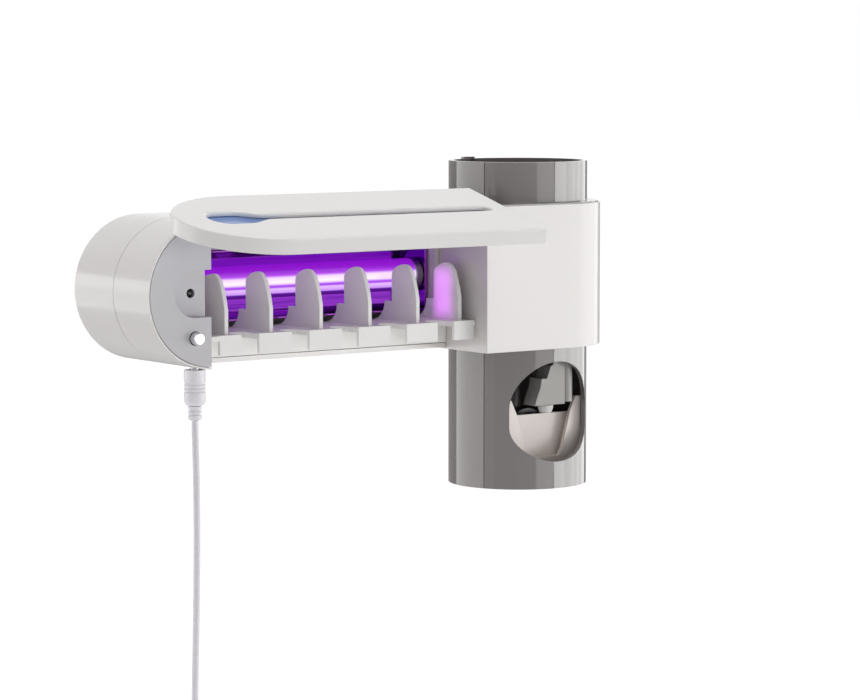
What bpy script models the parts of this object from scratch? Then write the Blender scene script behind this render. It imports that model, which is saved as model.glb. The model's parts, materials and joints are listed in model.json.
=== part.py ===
"""A wall-mounted toothbrush sterilizer with an upright toothpaste dispenser at its right end.

X runs to the right along the wall, Y into the wall and Z up, in metres. The wall is the plane Y = 0,
and the origin is the middle of the adhesive pad's back. The flap stands open, on its stop.
"""
import math

import bmesh
import bpy
from mathutils import Matrix, Vector

# Clearances and wall thicknesses
GAP = 0.0003
WALL = 0.0020
RIM = 0.0007

# The white body: a round left end and a flat right end, in two halves
CAP_X = -0.0920
BODY_R = 0.0303
BODY_Z = -0.0003
FACE_Y = -0.0620
SEAM_Y = -0.0349
REAR_Y = -0.0033
BODY_RIGHT = 0.0413
PARTITION_X = CAP_X - 0.0005
FLOOR_FRONT_Y = -0.0395
BODY_TOP = BODY_Z + BODY_R
BODY_BOTTOM = BODY_Z - BODY_R
ROOF_Z = BODY_TOP - WALL
FLOOR_Z = BODY_BOTTOM + WALL

# The grey end panel, with its U-shaped recess
PANEL_T = 0.0020
RECESS_X = -0.1000
RECESS_Z = 0.0002
RECESS_R = 0.0096
RECESS_DEPTH = 0.0049
LED_X = -0.0993
LED_HOLE_R = 0.0019
LED_TIP = FACE_Y + 0.0052
BOARD_Y = FACE_Y + 0.0160
BOARD_T = 0.0016
BOARD_LEFT = CAP_X - 0.0190
BOARD_RIGHT = CAP_X - 0.0035
BOARD_LOW = FLOOR_Z + 0.0081
BOARD_HIGH = ROOF_Z - 0.0115
BOARD_CORNER = 0.0025

# The chrome plunger that the closed flap presses
PLUNGER_X = CAP_X - 0.0082
PLUNGER_Z = BODY_BOTTOM + 0.0129
PLUNGER_R = 0.0026
PLUNGER_OUT = 0.0035
PLUNGER_TRAVEL = 0.0026
PLUNGER_STEM = 0.0091

# The flap and its hinge. Its own frame is that of the closed flap, seen from the hinge's axis
HINGE_Y = -0.05568
HINGE_Z = BODY_TOP - 0.00435
LID_OPEN = math.radians(74.6)
LID_OUTER = -0.01342
LID_RIM = -0.00670
LID_TOP = 0.00243
LID_BOTTOM = BODY_BOTTOM + 0.00253 - HINGE_Z
LID_RIGHT = BODY_RIGHT
LID_END_X = CAP_X + 0.00997
LID_END_REACH = BODY_R + 0.00916
HINGE_RELIEF_R = 0.0080
ARM_XS = (-0.0860, 0.0340)
ARM_HALF = 0.0020
EAR_T = 0.0016
BARREL_R = 0.0022
PIN_R = 0.0010
SLOT_Z = BODY_Z + 0.00088 - HINGE_Z
SLOT_WIDE = 0.0072
SLOT_NARROW = 0.0029
SLOT_LEFT = CAP_X - 0.0077
SLOT_TAPER = 0.0130
SLOT_RIGHT = LID_RIGHT - 0.0118
WINDOW_T = 0.0012

# The brush tray: six lips, five slots between them and a fin over each lip
TRAY_MID = -0.0237
TRAY_PITCH = 0.02477
NECK_GAP = 0.0086
TRAY_FRONT = -0.0610
TRAY_BACK = -0.0260
SHELF_TOP = -0.0175
SHELF_T = 0.0022
LIP_TOP = -0.0173
LIP_BOTTOM = -0.0254
LIP_T = 0.0016
FIN_T = 0.0018
FIN_FRONT = -0.0577
FIN_DEEP = 0.0178
FIN_HIGH = 0.0244
FIN_TAIL_R = 0.0080
NECK_DEPTH = 0.0120

# The lamp and the polished half pipe behind it
LAMP_Y = -0.0220
LAMP_Z = 0.0005
LAMP_R = 0.0070
LAMP_ENDS = (-0.0865, 0.0335)
MIRROR_Y = -0.0263
MIRROR_R = 0.0143
MIRROR_T = 0.0008
MIRROR_HALF_ANGLE = math.radians(100.9)
BULKHEADS = ((-0.0922, -0.0907), (0.0373, 0.0388))

# The white sleeve on the right and the upright cylinder in it
COVER_LEFT = 0.0416
COVER_HALF_H = 0.0313
COVER_WALL = 0.0022
TUBE_R = 0.03055
TUBE_X = 0.0860
TUBE_Y = -TUBE_R - 0.00225
COVER_R = TUBE_R + 0.00575
COVER_FRONT = TUBE_Y - COVER_R
TUBE_TOP = 0.04935
TUBE_BOTTOM = -0.0930
TUBE_BORE = TUBE_R - 0.0022
TUBE_SEAM = math.radians(66)

# The dispensing opening: two half ellipses and short straight sides
MOUTH_X = TUBE_X - 0.0009
MOUTH_HALF = TUBE_BORE - 0.00795
MOUTH_UPPER = (-0.0580, 0.0206)
MOUTH_LOWER = (-0.0660, 0.0153)

# The pump and the push lever below the nozzle
LEVER_FRONT = TUBE_Y - TUBE_BORE + 0.00935
LEVER_Y = LEVER_FRONT + 0.0058
LEVER_Z = TUBE_BOTTOM + 0.0075
WING_HALF = TUBE_BORE - 0.00775
LEVER_HIGH = 0.0309
LEVER_LUG_X = WING_HALF - 0.0070
PUMP_Z = -0.0700
PUMP_R = 0.0100
PUMP_FRONT = LEVER_Y + 0.0060
PUMP_BACK = TUBE_Y + TUBE_BORE - 0.00955
FEED_Y = TUBE_Y + 0.0048
NOZZLE_FRONT = TUBE_Y - TUBE_BORE + 0.00395
NOZZLE_DEEP = 0.0085
NOZZLE_HIGH = 0.0230
NOZZLE_Y = NOZZLE_FRONT + NOZZLE_DEEP / 2
NOZZLE_BACK = NOZZLE_FRONT + NOZZLE_DEEP
NOZZLE_Z = -0.0570
DUCT_Z = NOZZLE_Z + 0.0110

# The lead: its plug and jack, the free run, a hank of five loops and the tail
PLUG_X = -0.0966
PLUG_Y = -0.0555
PLUG_TOP = BODY_BOTTOM - GAP
JACK_LOW = (PLUG_X - 0.0039, PLUG_Y - 0.0037, FLOOR_Z + 0.0017)
JACK_HIGH = (PLUG_X + 0.0031, PLUG_Y + 0.0065, FLOOR_Z + 0.0070)
CORD_R = 0.001375
HANK_W = 0.0170
HANK_H = 0.0410
HANK_X = -0.0805
HANK_Z = -0.2190
HANK_PITCH = 0.0038
HANK_LAYER = 0.0037
HANK_WAIST = 0.0022
HANK_LEAD = 0.0060
TAIL_LENGTH = 0.0300

# Fixings: where the four case screws and the two sleeve screws go
CAP_SCREW_X = CAP_X - 0.0185
CAP_SCREW_Z = BODY_R - 0.0148
ROOF_SCREW_Z = ROOF_Z - 0.0037
CASE_SCREWS = ((CAP_SCREW_X, CAP_SCREW_Z, -0.0441), (CAP_SCREW_X, -CAP_SCREW_Z, -0.0441),
               (-0.0450, ROOF_SCREW_Z, -0.0385), (0.0300, ROOF_SCREW_Z, -0.0385))
SLEEVE_SCREWS = ((-0.0200, 0.0200), (-0.0200, -0.0200))
SCREW_R = 0.0010
BOSS_R = 0.0024
STUD_XS = (-0.0500, 0.0000)
STUD_Z = 0.0080
STUD_DROP = 0.0080
PLATE_X = -0.0250
PLATE_HALF_W = 0.0440
PLATE_HALF_H = 0.0140
PLATE_CORNER = 0.0060

for old in list(bpy.data.objects):
    bpy.data.objects.remove(old, do_unlink=True)

PARTS = bpy.data.collections.new("toothbrush_sterilizer")
CUTTERS = bpy.data.collections.new("sterilizer_cutters")
bpy.context.scene.collection.children.link(PARTS)
bpy.context.scene.collection.children.link(CUTTERS)


def material(name, colour, roughness, metallic=0.0, transmission=0.0):
    """A Principled material of one plain colour."""
    made = bpy.data.materials.new(name)
    made.use_nodes = True
    shader = made.node_tree.nodes["Principled BSDF"]
    shader.inputs["Base Color"].default_value = (*colour, 1.0)
    shader.inputs["Roughness"].default_value = roughness
    shader.inputs["Metallic"].default_value = metallic
    shader.inputs["Transmission Weight"].default_value = transmission
    return made


WHITE = material("white_gloss_plastic", (0.80, 0.79, 0.78), 0.25)
LID_WHITE = material("flap_gloss_plastic", (0.84, 0.84, 0.83), 0.18)
GREY = material("satin_grey_plastic", (0.56, 0.56, 0.57), 0.5)
TRAY_GREY = material("tray_plastic", (0.72, 0.72, 0.70), 0.4)
TAUPE = material("taupe_gloss_plastic", (0.20, 0.18, 0.165), 0.15)
DARK_TAUPE = material("taupe_satin_plastic", (0.25, 0.23, 0.21), 0.4)
CREAM = material("cream_plastic", (0.74, 0.69, 0.65), 0.35)
BLACK = material("black_plastic", (0.02, 0.02, 0.02), 0.45)
BLUE_CLEAR = material("clear_blue_plastic", (0.30, 0.45, 0.80), 0.1, 0.0, 0.6)
LAMP_GLASS = material("lamp_glass", (0.45, 0.12, 0.95), 0.1, 0.0, 0.3)
CHROME = material("chrome", (0.85, 0.85, 0.86), 0.08, 1.0)
STEEL = material("steel", (0.60, 0.60, 0.60), 0.3, 1.0)
BOARD = material("green_board", (0.03, 0.20, 0.08), 0.5)
SILICONE = material("milky_silicone", (0.75, 0.75, 0.73), 0.5)
CORD = material("lilac_white_cord", (0.74, 0.72, 0.77), 0.4)
FOAM = material("foam_pad", (0.70, 0.70, 0.72), 0.9)
LED = material("led_lens", (0.10, 0.20, 0.60), 0.2)


def add(name, mesh, look, parent=None):
    """An object of the part, or a cutter where there is no material."""
    made = bpy.data.objects.new(name, mesh)
    if look is None:
        CUTTERS.objects.link(made)
        made.hide_render = True
        made.display_type = "WIRE"
    else:
        PARTS.objects.link(made)
        mesh.materials.clear()
        mesh.materials.append(look)
    made.parent = parent
    return made


def finish_mesh(name, mesh_builder):
    """A mesh from a bmesh, its faces pointing out, shaded smooth between sharp edges."""
    mesh = bpy.data.meshes.new(name)
    bmesh.ops.recalc_face_normals(mesh_builder, faces=mesh_builder.faces)
    mesh_builder.to_mesh(mesh)
    mesh_builder.free()
    mesh.shade_smooth()
    mesh.set_sharp_from_angle(angle=math.radians(35))
    return mesh


def box(name, low, high, look=None, parent=None):
    """A block between two corners."""
    built = bmesh.new()
    bmesh.ops.create_cube(built, size=1.0)
    low = Vector(low)
    high = Vector(high)
    bmesh.ops.scale(built, vec=high - low, verts=built.verts)
    bmesh.ops.translate(built, vec=(low + high) / 2, verts=built.verts)
    return add(name, finish_mesh(name, built), look, parent)


AXIS_TURN = {
    "X": Matrix.Rotation(math.radians(90), 4, "Y"),
    "Y": Matrix.Rotation(math.radians(-90), 4, "X"),
    "Z": Matrix.Identity(4),
}
OUTLINE_TURN = {
    "X": Matrix(((0, 0, 1, 0), (1, 0, 0, 0), (0, 1, 0, 0), (0, 0, 0, 1))),
    "Y": Matrix(((1, 0, 0, 0), (0, 0, -1, 0), (0, 1, 0, 0), (0, 0, 0, 1))),
    "Z": Matrix.Identity(4),
}
OUTLINE_SIGN = {"X": 1, "Y": -1, "Z": 1}


def rod(name, start, end, radius, axis, look=None, parent=None, sides=16):
    """A round bar along one axis. start is its first end's centre, and end that axis's far value."""
    index = "XYZ".index(axis)
    length = end - start[index]
    middle = Vector(start)
    middle[index] = (start[index] + end) / 2
    built = bmesh.new()
    bmesh.ops.create_cone(built, cap_ends=True, segments=sides, radius1=radius, radius2=radius,
                          depth=abs(length))
    bmesh.ops.transform(built, matrix=Matrix.Translation(middle) @ AXIS_TURN[axis], verts=built.verts)
    return add(name, finish_mesh(name, built), look, parent)


def curve_mesh(name, curve):
    """The closed mesh of a curve object, its caps welded."""
    holder = bpy.data.objects.new(name + "_curve", curve)
    bpy.context.scene.collection.objects.link(holder)
    seen = holder.evaluated_get(bpy.context.evaluated_depsgraph_get())
    mesh = bpy.data.meshes.new_from_object(seen)
    bpy.data.objects.remove(holder, do_unlink=True)
    built = bmesh.new()
    built.from_mesh(mesh)
    bpy.data.meshes.remove(mesh)
    bmesh.ops.remove_doubles(built, verts=built.verts, dist=0.00001)
    return built


def plate(name, outline, near, far, axis, look=None, parent=None, hole=None):
    """A flat outline made solid along one axis, from near to far. A hole is a second outline."""
    curve = bpy.data.curves.new(name, "CURVE")
    curve.dimensions = "2D"
    curve.fill_mode = "BOTH"
    curve.extrude = abs(far - near) / 2
    for loop in (outline, hole):
        if loop is not None:
            spline = curve.splines.new("POLY")
            spline.points.add(len(loop) - 1)
            for point, (u, v) in zip(spline.points, loop):
                point.co = (u, v, 0, 1)
            spline.use_cyclic_u = True
    built = curve_mesh(name, curve)
    bmesh.ops.dissolve_limit(built, angle_limit=math.radians(0.5), verts=built.verts, edges=built.edges)
    offset = Vector((0, 0, OUTLINE_SIGN[axis] * (near + far) / 2))
    bmesh.ops.translate(built, vec=offset, verts=built.verts)
    bmesh.ops.transform(built, matrix=OUTLINE_TURN[axis], verts=built.verts)
    return add(name, finish_mesh(name, built), look, parent)


def turned(name, profile, centre, axis, look=None, parent=None, steps=32, closed=False):
    """A turned shape: (radius, height) points from the top down the outer side, with Screw."""
    mesh = bpy.data.meshes.new(name)
    links = [(k, k + 1) for k in range(len(profile) - 1)]
    if closed:
        links.append((len(profile) - 1, 0))
    mesh.from_pydata([(radius, 0, height) for radius, height in profile], links, [])
    made = add(name, mesh, look, parent)
    made.matrix_local = Matrix.Translation(centre) @ AXIS_TURN[axis]
    screw = made.modifiers.new("Turn", "SCREW")
    screw.axis = "Z"
    screw.steps = steps
    screw.render_steps = steps
    screw.use_merge_vertices = True
    screw.merge_threshold = 0.00001
    screw.use_smooth_shade = False
    return made


def wire(name, points, radius, look, parent=None, resolution=2, origin=(0, 0, 0)):
    """A round tube through a list of points, with its ends filled."""
    curve = bpy.data.curves.new(name, "CURVE")
    curve.dimensions = "3D"
    curve.bevel_depth = radius
    curve.bevel_resolution = resolution
    curve.use_fill_caps = True
    spline = curve.splines.new("POLY")
    spline.points.add(len(points) - 1)
    for point, place in zip(spline.points, points):
        point.co = (*(Vector(place) - Vector(origin)), 1)
    mesh = finish_mesh(name, curve_mesh(name, curve))
    made = add(name, mesh, look, parent)
    made.location = origin
    return made


def change(target, tool, operation):
    """A Boolean of the target with a tool that isn't part of the model."""
    step = target.modifiers.new(tool.name, "BOOLEAN")
    step.object = tool
    step.operation = operation
    step.solver = "EXACT"


def cut(target, *tools):
    for tool in tools:
        change(target, tool, "DIFFERENCE")


def join(target, *tools):
    for tool in tools:
        change(target, tool, "UNION")


def round_edges(target, width, chosen, segments=3):
    """A Bevel on the edges that the test picks."""
    mesh = target.data
    weights = mesh.attributes.new("bevel_weight_edge", "FLOAT", "EDGE")
    for edge in mesh.edges:
        ends = [mesh.vertices[k].co for k in edge.vertices]
        weights.data[edge.index].value = 1.0 if chosen(*ends) else 0.0
    bevel = target.modifiers.new("Round", "BEVEL")
    bevel.limit_method = "WEIGHT"
    bevel.width = width
    bevel.segments = segments


def arc(x, y, radius, start, end, count, radius_y=None):
    """Points along an arc or a stretch of an ellipse, both ends included, in degrees."""
    radius_y = radius if radius_y is None else radius_y
    turns = [math.radians(start + (end - start) * k / count) for k in range(count + 1)]
    return [(x + radius * math.cos(a), y + radius_y * math.sin(a)) for a in turns]


def body_outline(inset, right):
    """The body's outline in X and Z, with its round left end."""
    points = arc(CAP_X, BODY_Z, BODY_R - inset, 90, 270, 40)
    points.append((right, BODY_BOTTOM + inset))
    points.append((right, BODY_TOP - inset))
    return points


def d_outline(inset, right):
    """The round end's outline in X and Z, cut off straight at its right."""
    radius = BODY_R - inset
    start = math.degrees(math.acos((right - CAP_X) / radius))
    return arc(CAP_X, BODY_Z, radius, start, 360 - start, 40)


def on_plane(index, value):
    """A test for edges whose both ends lie on one plane."""
    return lambda a, b: abs(a[index] - value) < 1e-6 and abs(b[index] - value) < 1e-6


def make_rear_housing():
    """The back half, with screw bosses and two keyholes for the wall plate's studs."""
    seam = SEAM_Y + GAP / 2
    shell = plate("rear_housing", body_outline(0, BODY_RIGHT), seam, REAR_Y, "Y", WHITE)
    round_edges(shell, 0.0010, on_plane(1, REAR_Y), 2)
    inner = body_outline(WALL, BODY_RIGHT - WALL)
    back = REAR_Y - WALL
    cut(shell, plate("rear_hollow", inner, seam - WALL, back, "Y"))
    for k, (x, z, _) in enumerate(CASE_SCREWS):
        join(shell, rod(f"rear_boss_{k}", (x, seam, z), back + 0.0005, BOSS_R, "Y"))
        cut(shell, rod(f"rear_bore_{k}", (x, seam - 0.001, z), 0.0, SCREW_R + GAP, "Y", sides=10))
        cut(shell, rod(f"rear_sink_{k}", (x, REAR_Y - 0.0012, z), 0.0, 0.0023, "Y", sides=12))
    for k, x in enumerate(STUD_XS):
        slot = [(x - 0.0019, STUD_Z - STUD_DROP), (x + 0.0019, STUD_Z - STUD_DROP)]
        slot += arc(x, STUD_Z, 0.0019, 0, 180, 10)
        cut(shell, plate(f"keyhole_slot_{k}", slot, back - 0.001, 0.0, "Y"))
        entry = (x, back - 0.001, STUD_Z - STUD_DROP)
        cut(shell, rod(f"keyhole_entry_{k}", entry, 0.0, 0.0037, "Y"))
    for k, (y, z) in enumerate(SLEEVE_SCREWS):
        start = (BODY_RIGHT - 2 * WALL, y, z)
        cut(shell, rod(f"side_bore_{k}", start, BODY_RIGHT + 0.001, SCREW_R + GAP, "X", sides=10))


def make_front_housing():
    """The front half: round shell, roof, short floor, partition, hinge ears and screw bosses."""
    seam = SEAM_Y - GAP / 2
    shell = plate("front_housing", body_outline(0, BODY_RIGHT), FACE_Y, seam, "Y", WHITE)
    hollow = d_outline(WALL, PARTITION_X - WALL)
    cut(shell, plate("cap_hollow", hollow, FACE_Y - 0.001, seam + 0.001, "Y"))
    cut(shell, box("brush_space", (PARTITION_X, FACE_Y - 0.001, FLOOR_Z),
                   (BODY_RIGHT + 0.001, seam + 0.001, ROOF_Z)))
    cut(shell, box("open_floor", (PARTITION_X, FACE_Y - 0.001, BODY_BOTTOM - 0.001),
                   (BODY_RIGHT + 0.001, FLOOR_FRONT_Y, FLOOR_Z + 0.001)))
    rebate = d_outline(RIM, PARTITION_X + GAP)
    cut(shell, plate("panel_rebate", rebate, FACE_Y - 0.001, FACE_Y + PANEL_T + GAP, "Y"))
    cup = RECESS_R + 0.0015 + GAP
    cut(shell, box("cup_notch", (PARTITION_X - 2 * WALL, FACE_Y, RECESS_Z - cup),
                   (PARTITION_X + 0.001, FACE_Y + RECESS_DEPTH + 0.0018, RECESS_Z + cup)))
    cut(shell, box("jack_pocket", (PARTITION_X - 2 * WALL, JACK_LOW[1] - GAP - 0.0002, FLOOR_Z - 0.0002),
                   (JACK_HIGH[0] + GAP, JACK_HIGH[1] + GAP, JACK_HIGH[2] + GAP)))
    cut(shell, rod("plug_hole", (PLUG_X, PLUG_Y, BODY_BOTTOM - 0.003), FLOOR_Z + 0.001, 0.0024, "Z"))
    for k, x in enumerate(ARM_XS):
        half = ARM_HALF + 0.0005
        cut(shell, box(f"arm_notch_{k}", (x - half, FACE_Y - 0.001, ROOF_Z - 0.001),
                       (x + half, HINGE_Y + 0.0025, BODY_TOP + 0.001)))
        for side in (-1, 1):
            near = x + side * half
            far = x + side * (half + EAR_T)
            low = (min(near, far), HINGE_Y - 0.0026, HINGE_Z - 0.0026)
            high = (max(near, far), HINGE_Y + 0.0026, ROOF_Z + 0.0005)
            join(shell, box(f"ear_{k}_{side + 1}", low, high))
        start = (x - 0.006, HINGE_Y, HINGE_Z)
        cut(shell, rod(f"ear_bore_{k}", start, x + 0.006, PIN_R + GAP, "X", sides=12))
    for k, (x, z, end) in enumerate(CASE_SCREWS):
        middle = (x, end, z)
        join(shell, rod(f"front_boss_{k}", middle, seam, BOSS_R, "Y"))
        if x > PARTITION_X:
            join(shell, box(f"boss_web_{k}", (x - 0.0008, end, z + 0.001),
                            (x + 0.0008, seam, ROOF_Z + 0.0005)))
        else:
            outward = math.copysign(1, z)
            wall_z = BODY_Z + outward * math.sqrt((BODY_R - WALL / 2) ** 2 - (x - CAP_X) ** 2)
            low = (x - 0.0008, end, min(z + outward * 0.001, wall_z))
            high = (x + 0.0008, seam, max(z + outward * 0.001, wall_z))
            join(shell, box(f"boss_web_{k}", low, high))
        cut(shell, rod(f"front_bore_{k}", (x, end + 0.0012, z), seam + 0.001, SCREW_R + GAP, "Y",
                       sides=10))


def make_end_panel():
    """The grey panel in the round end: a D with a U-shaped cup, a plunger hole and a lamp hole."""
    right = PARTITION_X
    panel = plate("end_panel", d_outline(RIM + GAP, right), FACE_Y, FACE_Y + PANEL_T, "Y", GREY)

    def u_shape(radius, end):
        points = arc(RECESS_X, RECESS_Z, radius, 90, 270, 24)
        return points + [(end, RECESS_Z - radius), (end, RECESS_Z + radius)]

    floor_y = FACE_Y + RECESS_DEPTH
    join(panel, plate("cup", u_shape(RECESS_R + 0.0015, right), FACE_Y + 0.001, floor_y + 0.0015, "Y"))
    cut(panel, plate("recess", u_shape(RECESS_R, right + 0.002), FACE_Y - 0.001, floor_y, "Y"))
    start = (PLUNGER_X, FACE_Y - 0.001, PLUNGER_Z)
    cut(panel, rod("plunger_hole", start, FACE_Y + 0.004, PLUNGER_R + GAP, "Y", sides=32))
    start = (LED_X, FACE_Y, RECESS_Z)
    cut(panel, rod("led_hole", start, floor_y + 0.003, LED_HOLE_R, "Y", sides=24))


def coil(centre, radius, start, end, turns, points_per_turn=8):
    """Points of a spring along Y, its ends one turn of flatter pitch."""
    points = []
    count = int(turns * points_per_turn)
    for k in range(count + 1):
        part = k / count
        angle = 2 * math.pi * turns * part
        x = centre[0] + radius * math.cos(angle)
        z = centre[1] + radius * math.sin(angle)
        points.append((x, start + (end - start) * part, z))
    return points


def make_plunger():
    """The chrome pin, its spring and the switch behind it."""
    tip = -PLUNGER_OUT
    flange = PANEL_T + GAP
    stem = PLUNGER_STEM
    profile = [(0, stem), (0.0012, stem), (0.0012, flange + 0.0010), (0.0033, flange + 0.0010),
               (0.0033, flange), (PLUNGER_R, flange), (PLUNGER_R, tip + 0.0005),
               (PLUNGER_R - 0.0002, tip + 0.00015), (PLUNGER_R - 0.0006, tip), (0, tip)]
    turned("lid_switch_plunger", profile, (PLUNGER_X, FACE_Y, PLUNGER_Z), "Y", CHROME, steps=24)
    wire_r = 0.00025
    first = FACE_Y + flange + 0.0013 + wire_r
    switch_face = FACE_Y + stem + PLUNGER_TRAVEL + GAP
    last = switch_face - GAP - wire_r
    points = coil((PLUNGER_X, PLUNGER_Z), 0.0022, first, last, 5)
    wire("plunger_spring", points, wire_r, STEEL, resolution=1)
    switch = box("lid_switch", (PLUNGER_X - 0.0035, switch_face, PLUNGER_Z - 0.0026),
                 (PLUNGER_X + 0.0035, BOARD_Y - GAP, PLUNGER_Z + 0.0030), BLACK)
    start = (PLUNGER_X, switch_face - 0.001, PLUNGER_Z)
    cut(switch, rod("switch_well", start, switch_face + 0.0012, 0.0016, "Y"))


def make_board():
    """The circuit board in the round end, with the parts that stand on it, and the power jack."""
    outline = [(BOARD_LEFT, BOARD_LOW + BOARD_CORNER), (BOARD_LEFT + BOARD_CORNER, BOARD_LOW),
               (BOARD_RIGHT, BOARD_LOW), (BOARD_RIGHT, BOARD_HIGH),
               (BOARD_LEFT + BOARD_CORNER, BOARD_HIGH), (BOARD_LEFT, BOARD_HIGH - BOARD_CORNER)]
    plate("circuit_board", outline, BOARD_Y, BOARD_Y + BOARD_T, "Y", BOARD)
    base = BOARD_Y - GAP
    foot = base - 0.0034 - LED_TIP
    profile = [(0, foot), (0.0018, foot), (0.0018, foot - 0.0008), (0.00125, foot - 0.0008),
               (0.00125, 0.0010), (0.0009, 0.0003), (0, 0)]
    lamp = turned("status_led", profile, (LED_X, LED_TIP, RECESS_Z), "Y", LED, steps=20)
    for side in (-1, 1):
        x = LED_X + side * 0.0008
        join(lamp, box(f"led_leg_{side + 1}", (x - 0.0003, base - 0.0038, RECESS_Z - 0.0003),
                       (x + 0.0003, base, RECESS_Z + 0.0003)))
    left = BOARD_LEFT + 0.0030
    right = BOARD_RIGHT - 0.0010
    low = RECESS_Z + 0.0038
    high = RECESS_Z + 0.0143
    core = box("step_up_transformer", (left, base - 0.0062, low), (right, base, high), BLACK)
    join(core, box("winding", (left + 0.0020, base - 0.0075, low - 0.0015),
                   (right - 0.0020, base - 0.0010, high + 0.0013)))
    profile = [(0, 0), (0.0023, 0), (0.0023, -0.0010), (0.0020, -0.0014), (0.0023, -0.0018),
               (0.0023, -0.0072), (0.0019, -0.0076), (0, -0.0076)]
    for k, drop in enumerate((0.0032, 0.0094)):
        place = (BOARD_LEFT + 0.0042, base, RECESS_Z - drop)
        turned(f"board_capacitor_{k + 1}", profile, place, "Y", BLACK, steps=20)
    jack = box("dc_jack", JACK_LOW, JACK_HIGH, BLACK)
    cut(jack, rod("jack_bore", (PLUG_X, PLUG_Y, BODY_BOTTOM), JACK_HIGH[2] - 0.0007, 0.0021, "Z"))


def lid_outline(inset):
    """The flap's outline in X and its own Z: straight, with a half-elliptic left end."""
    middle = (LID_TOP + LID_BOTTOM) / 2
    half = (LID_TOP - LID_BOTTOM) / 2 - inset
    points = arc(LID_END_X, middle, LID_END_REACH - inset, 90, 270, 36, half)
    right = LID_RIGHT - inset
    return points + [(right, middle - half), (right, middle + half)]


def slot_outline(grow):
    """The key-shaped slot: wide and round at the left, then a narrow slit with a round end."""
    wide = SLOT_WIDE + grow
    narrow = SLOT_NARROW + grow
    lower = []
    steps = 10
    for k in range(steps + 1):
        part = k / steps
        ease = part * part * (3 - 2 * part)
        lower.append((CAP_X + SLOT_TAPER * part, SLOT_Z - wide + (wide - narrow) * ease))
    upper = [(x, 2 * SLOT_Z - z) for x, z in reversed(lower)]
    left = arc(SLOT_LEFT, SLOT_Z, wide, 90, 270, 20)
    right = arc(SLOT_RIGHT, SLOT_Z, narrow, -90, 90, 10)
    return left + lower + right + upper


def make_lid():
    """The flap, open on its stop: a shell with hinge arms, a slot, a window and a plunger pad."""
    hinge = bpy.data.objects.new("lid_axis", None)
    PARTS.objects.link(hinge)
    hinge.location = (0, HINGE_Y, HINGE_Z)
    hinge.rotation_euler = (-LID_OPEN, 0, 0)
    inner = LID_OUTER + WALL
    lid = plate("lid", lid_outline(0), LID_OUTER, LID_RIM, "Y", LID_WHITE, hinge)
    round_edges(lid, 0.0008, on_plane(1, LID_OUTER), 3)
    hollow = plate("lid_hollow", lid_outline(WALL), inner, LID_RIM + 0.002, "Y", None, hinge)
    cut(lid, hollow)
    cut(lid, plate("key_slot", slot_outline(0), LID_OUTER - 0.001, inner + 0.001, "Y", None, hinge))
    start = (LID_END_X - LID_END_REACH - WALL, 0, 0)
    cut(lid, rod("hinge_relief", start, LID_RIGHT + WALL, HINGE_RELIEF_R, "X", None, hinge, 48))
    for k, x in enumerate(ARM_XS):
        shape = [(inner - 0.0006, -0.0016), (inner - 0.0006, -0.0070), (-0.0016, -0.0018),
                 (0.0010, -0.0010), (-0.0004, 0.0019)]
        join(lid, plate(f"lid_arm_{k}", shape, x - ARM_HALF, x + ARM_HALF, "X", None, hinge))
        start = (x - ARM_HALF, 0, 0)
        join(lid, rod(f"lid_barrel_{k}", start, x + ARM_HALF, BARREL_R, "X", None, hinge, 20))
        start = (x - ARM_HALF - 0.001, 0, 0)
        cut(lid, rod(f"pin_bore_{k}", start, x + ARM_HALF + 0.001, PIN_R + GAP, "X", None, hinge, 16))
    pad_end = FACE_Y - PLUNGER_OUT - GAP - HINGE_Y
    start = (PLUNGER_X, inner - 0.0005, PLUNGER_Z - HINGE_Z)
    join(lid, rod("plunger_pad", start, pad_end, 0.0030, "Y", None, hinge, 24))
    plate("lid_window", slot_outline(0.0020), inner + GAP, inner + GAP + WINDOW_T, "Y", BLUE_CLEAR,
          hinge)
    for side, x in zip(("left", "right"), ARM_XS):
        start = (x - 0.0047, HINGE_Y, HINGE_Z)
        rod(f"hinge_pin_{side}", start, x + 0.0047, PIN_R, "X", STEEL, None, 10)


def fin_outline():
    """One fin in Y and Z: leaning front, round top, an upright back and a hollow tail."""
    floor = SHELF_TOP - 0.0005
    profile = [(0, 0.41), (0.06, 0.59), (0.14, 0.755), (0.21, 0.865), (0.30, 0.94), (0.39, 0.985), (0.48, 1),
               (0.57, 1), (0.77, 0.965), (0.90, 0.915), (0.97, 0.865), (1, 0.81), (1, 0.336), (1.3, 0.336)]
    points = [(FIN_FRONT, floor)]
    points += [(FIN_FRONT + FIN_DEEP * y, SHELF_TOP + FIN_HIGH * z) for y, z in profile]
    tail_y = FIN_FRONT + 1.3 * FIN_DEEP + FIN_TAIL_R
    points += arc(tail_y, SHELF_TOP + 0.336 * FIN_HIGH, FIN_TAIL_R, 186, 264, 8)
    points.append((tail_y - 0.0005, floor))
    return points


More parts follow.
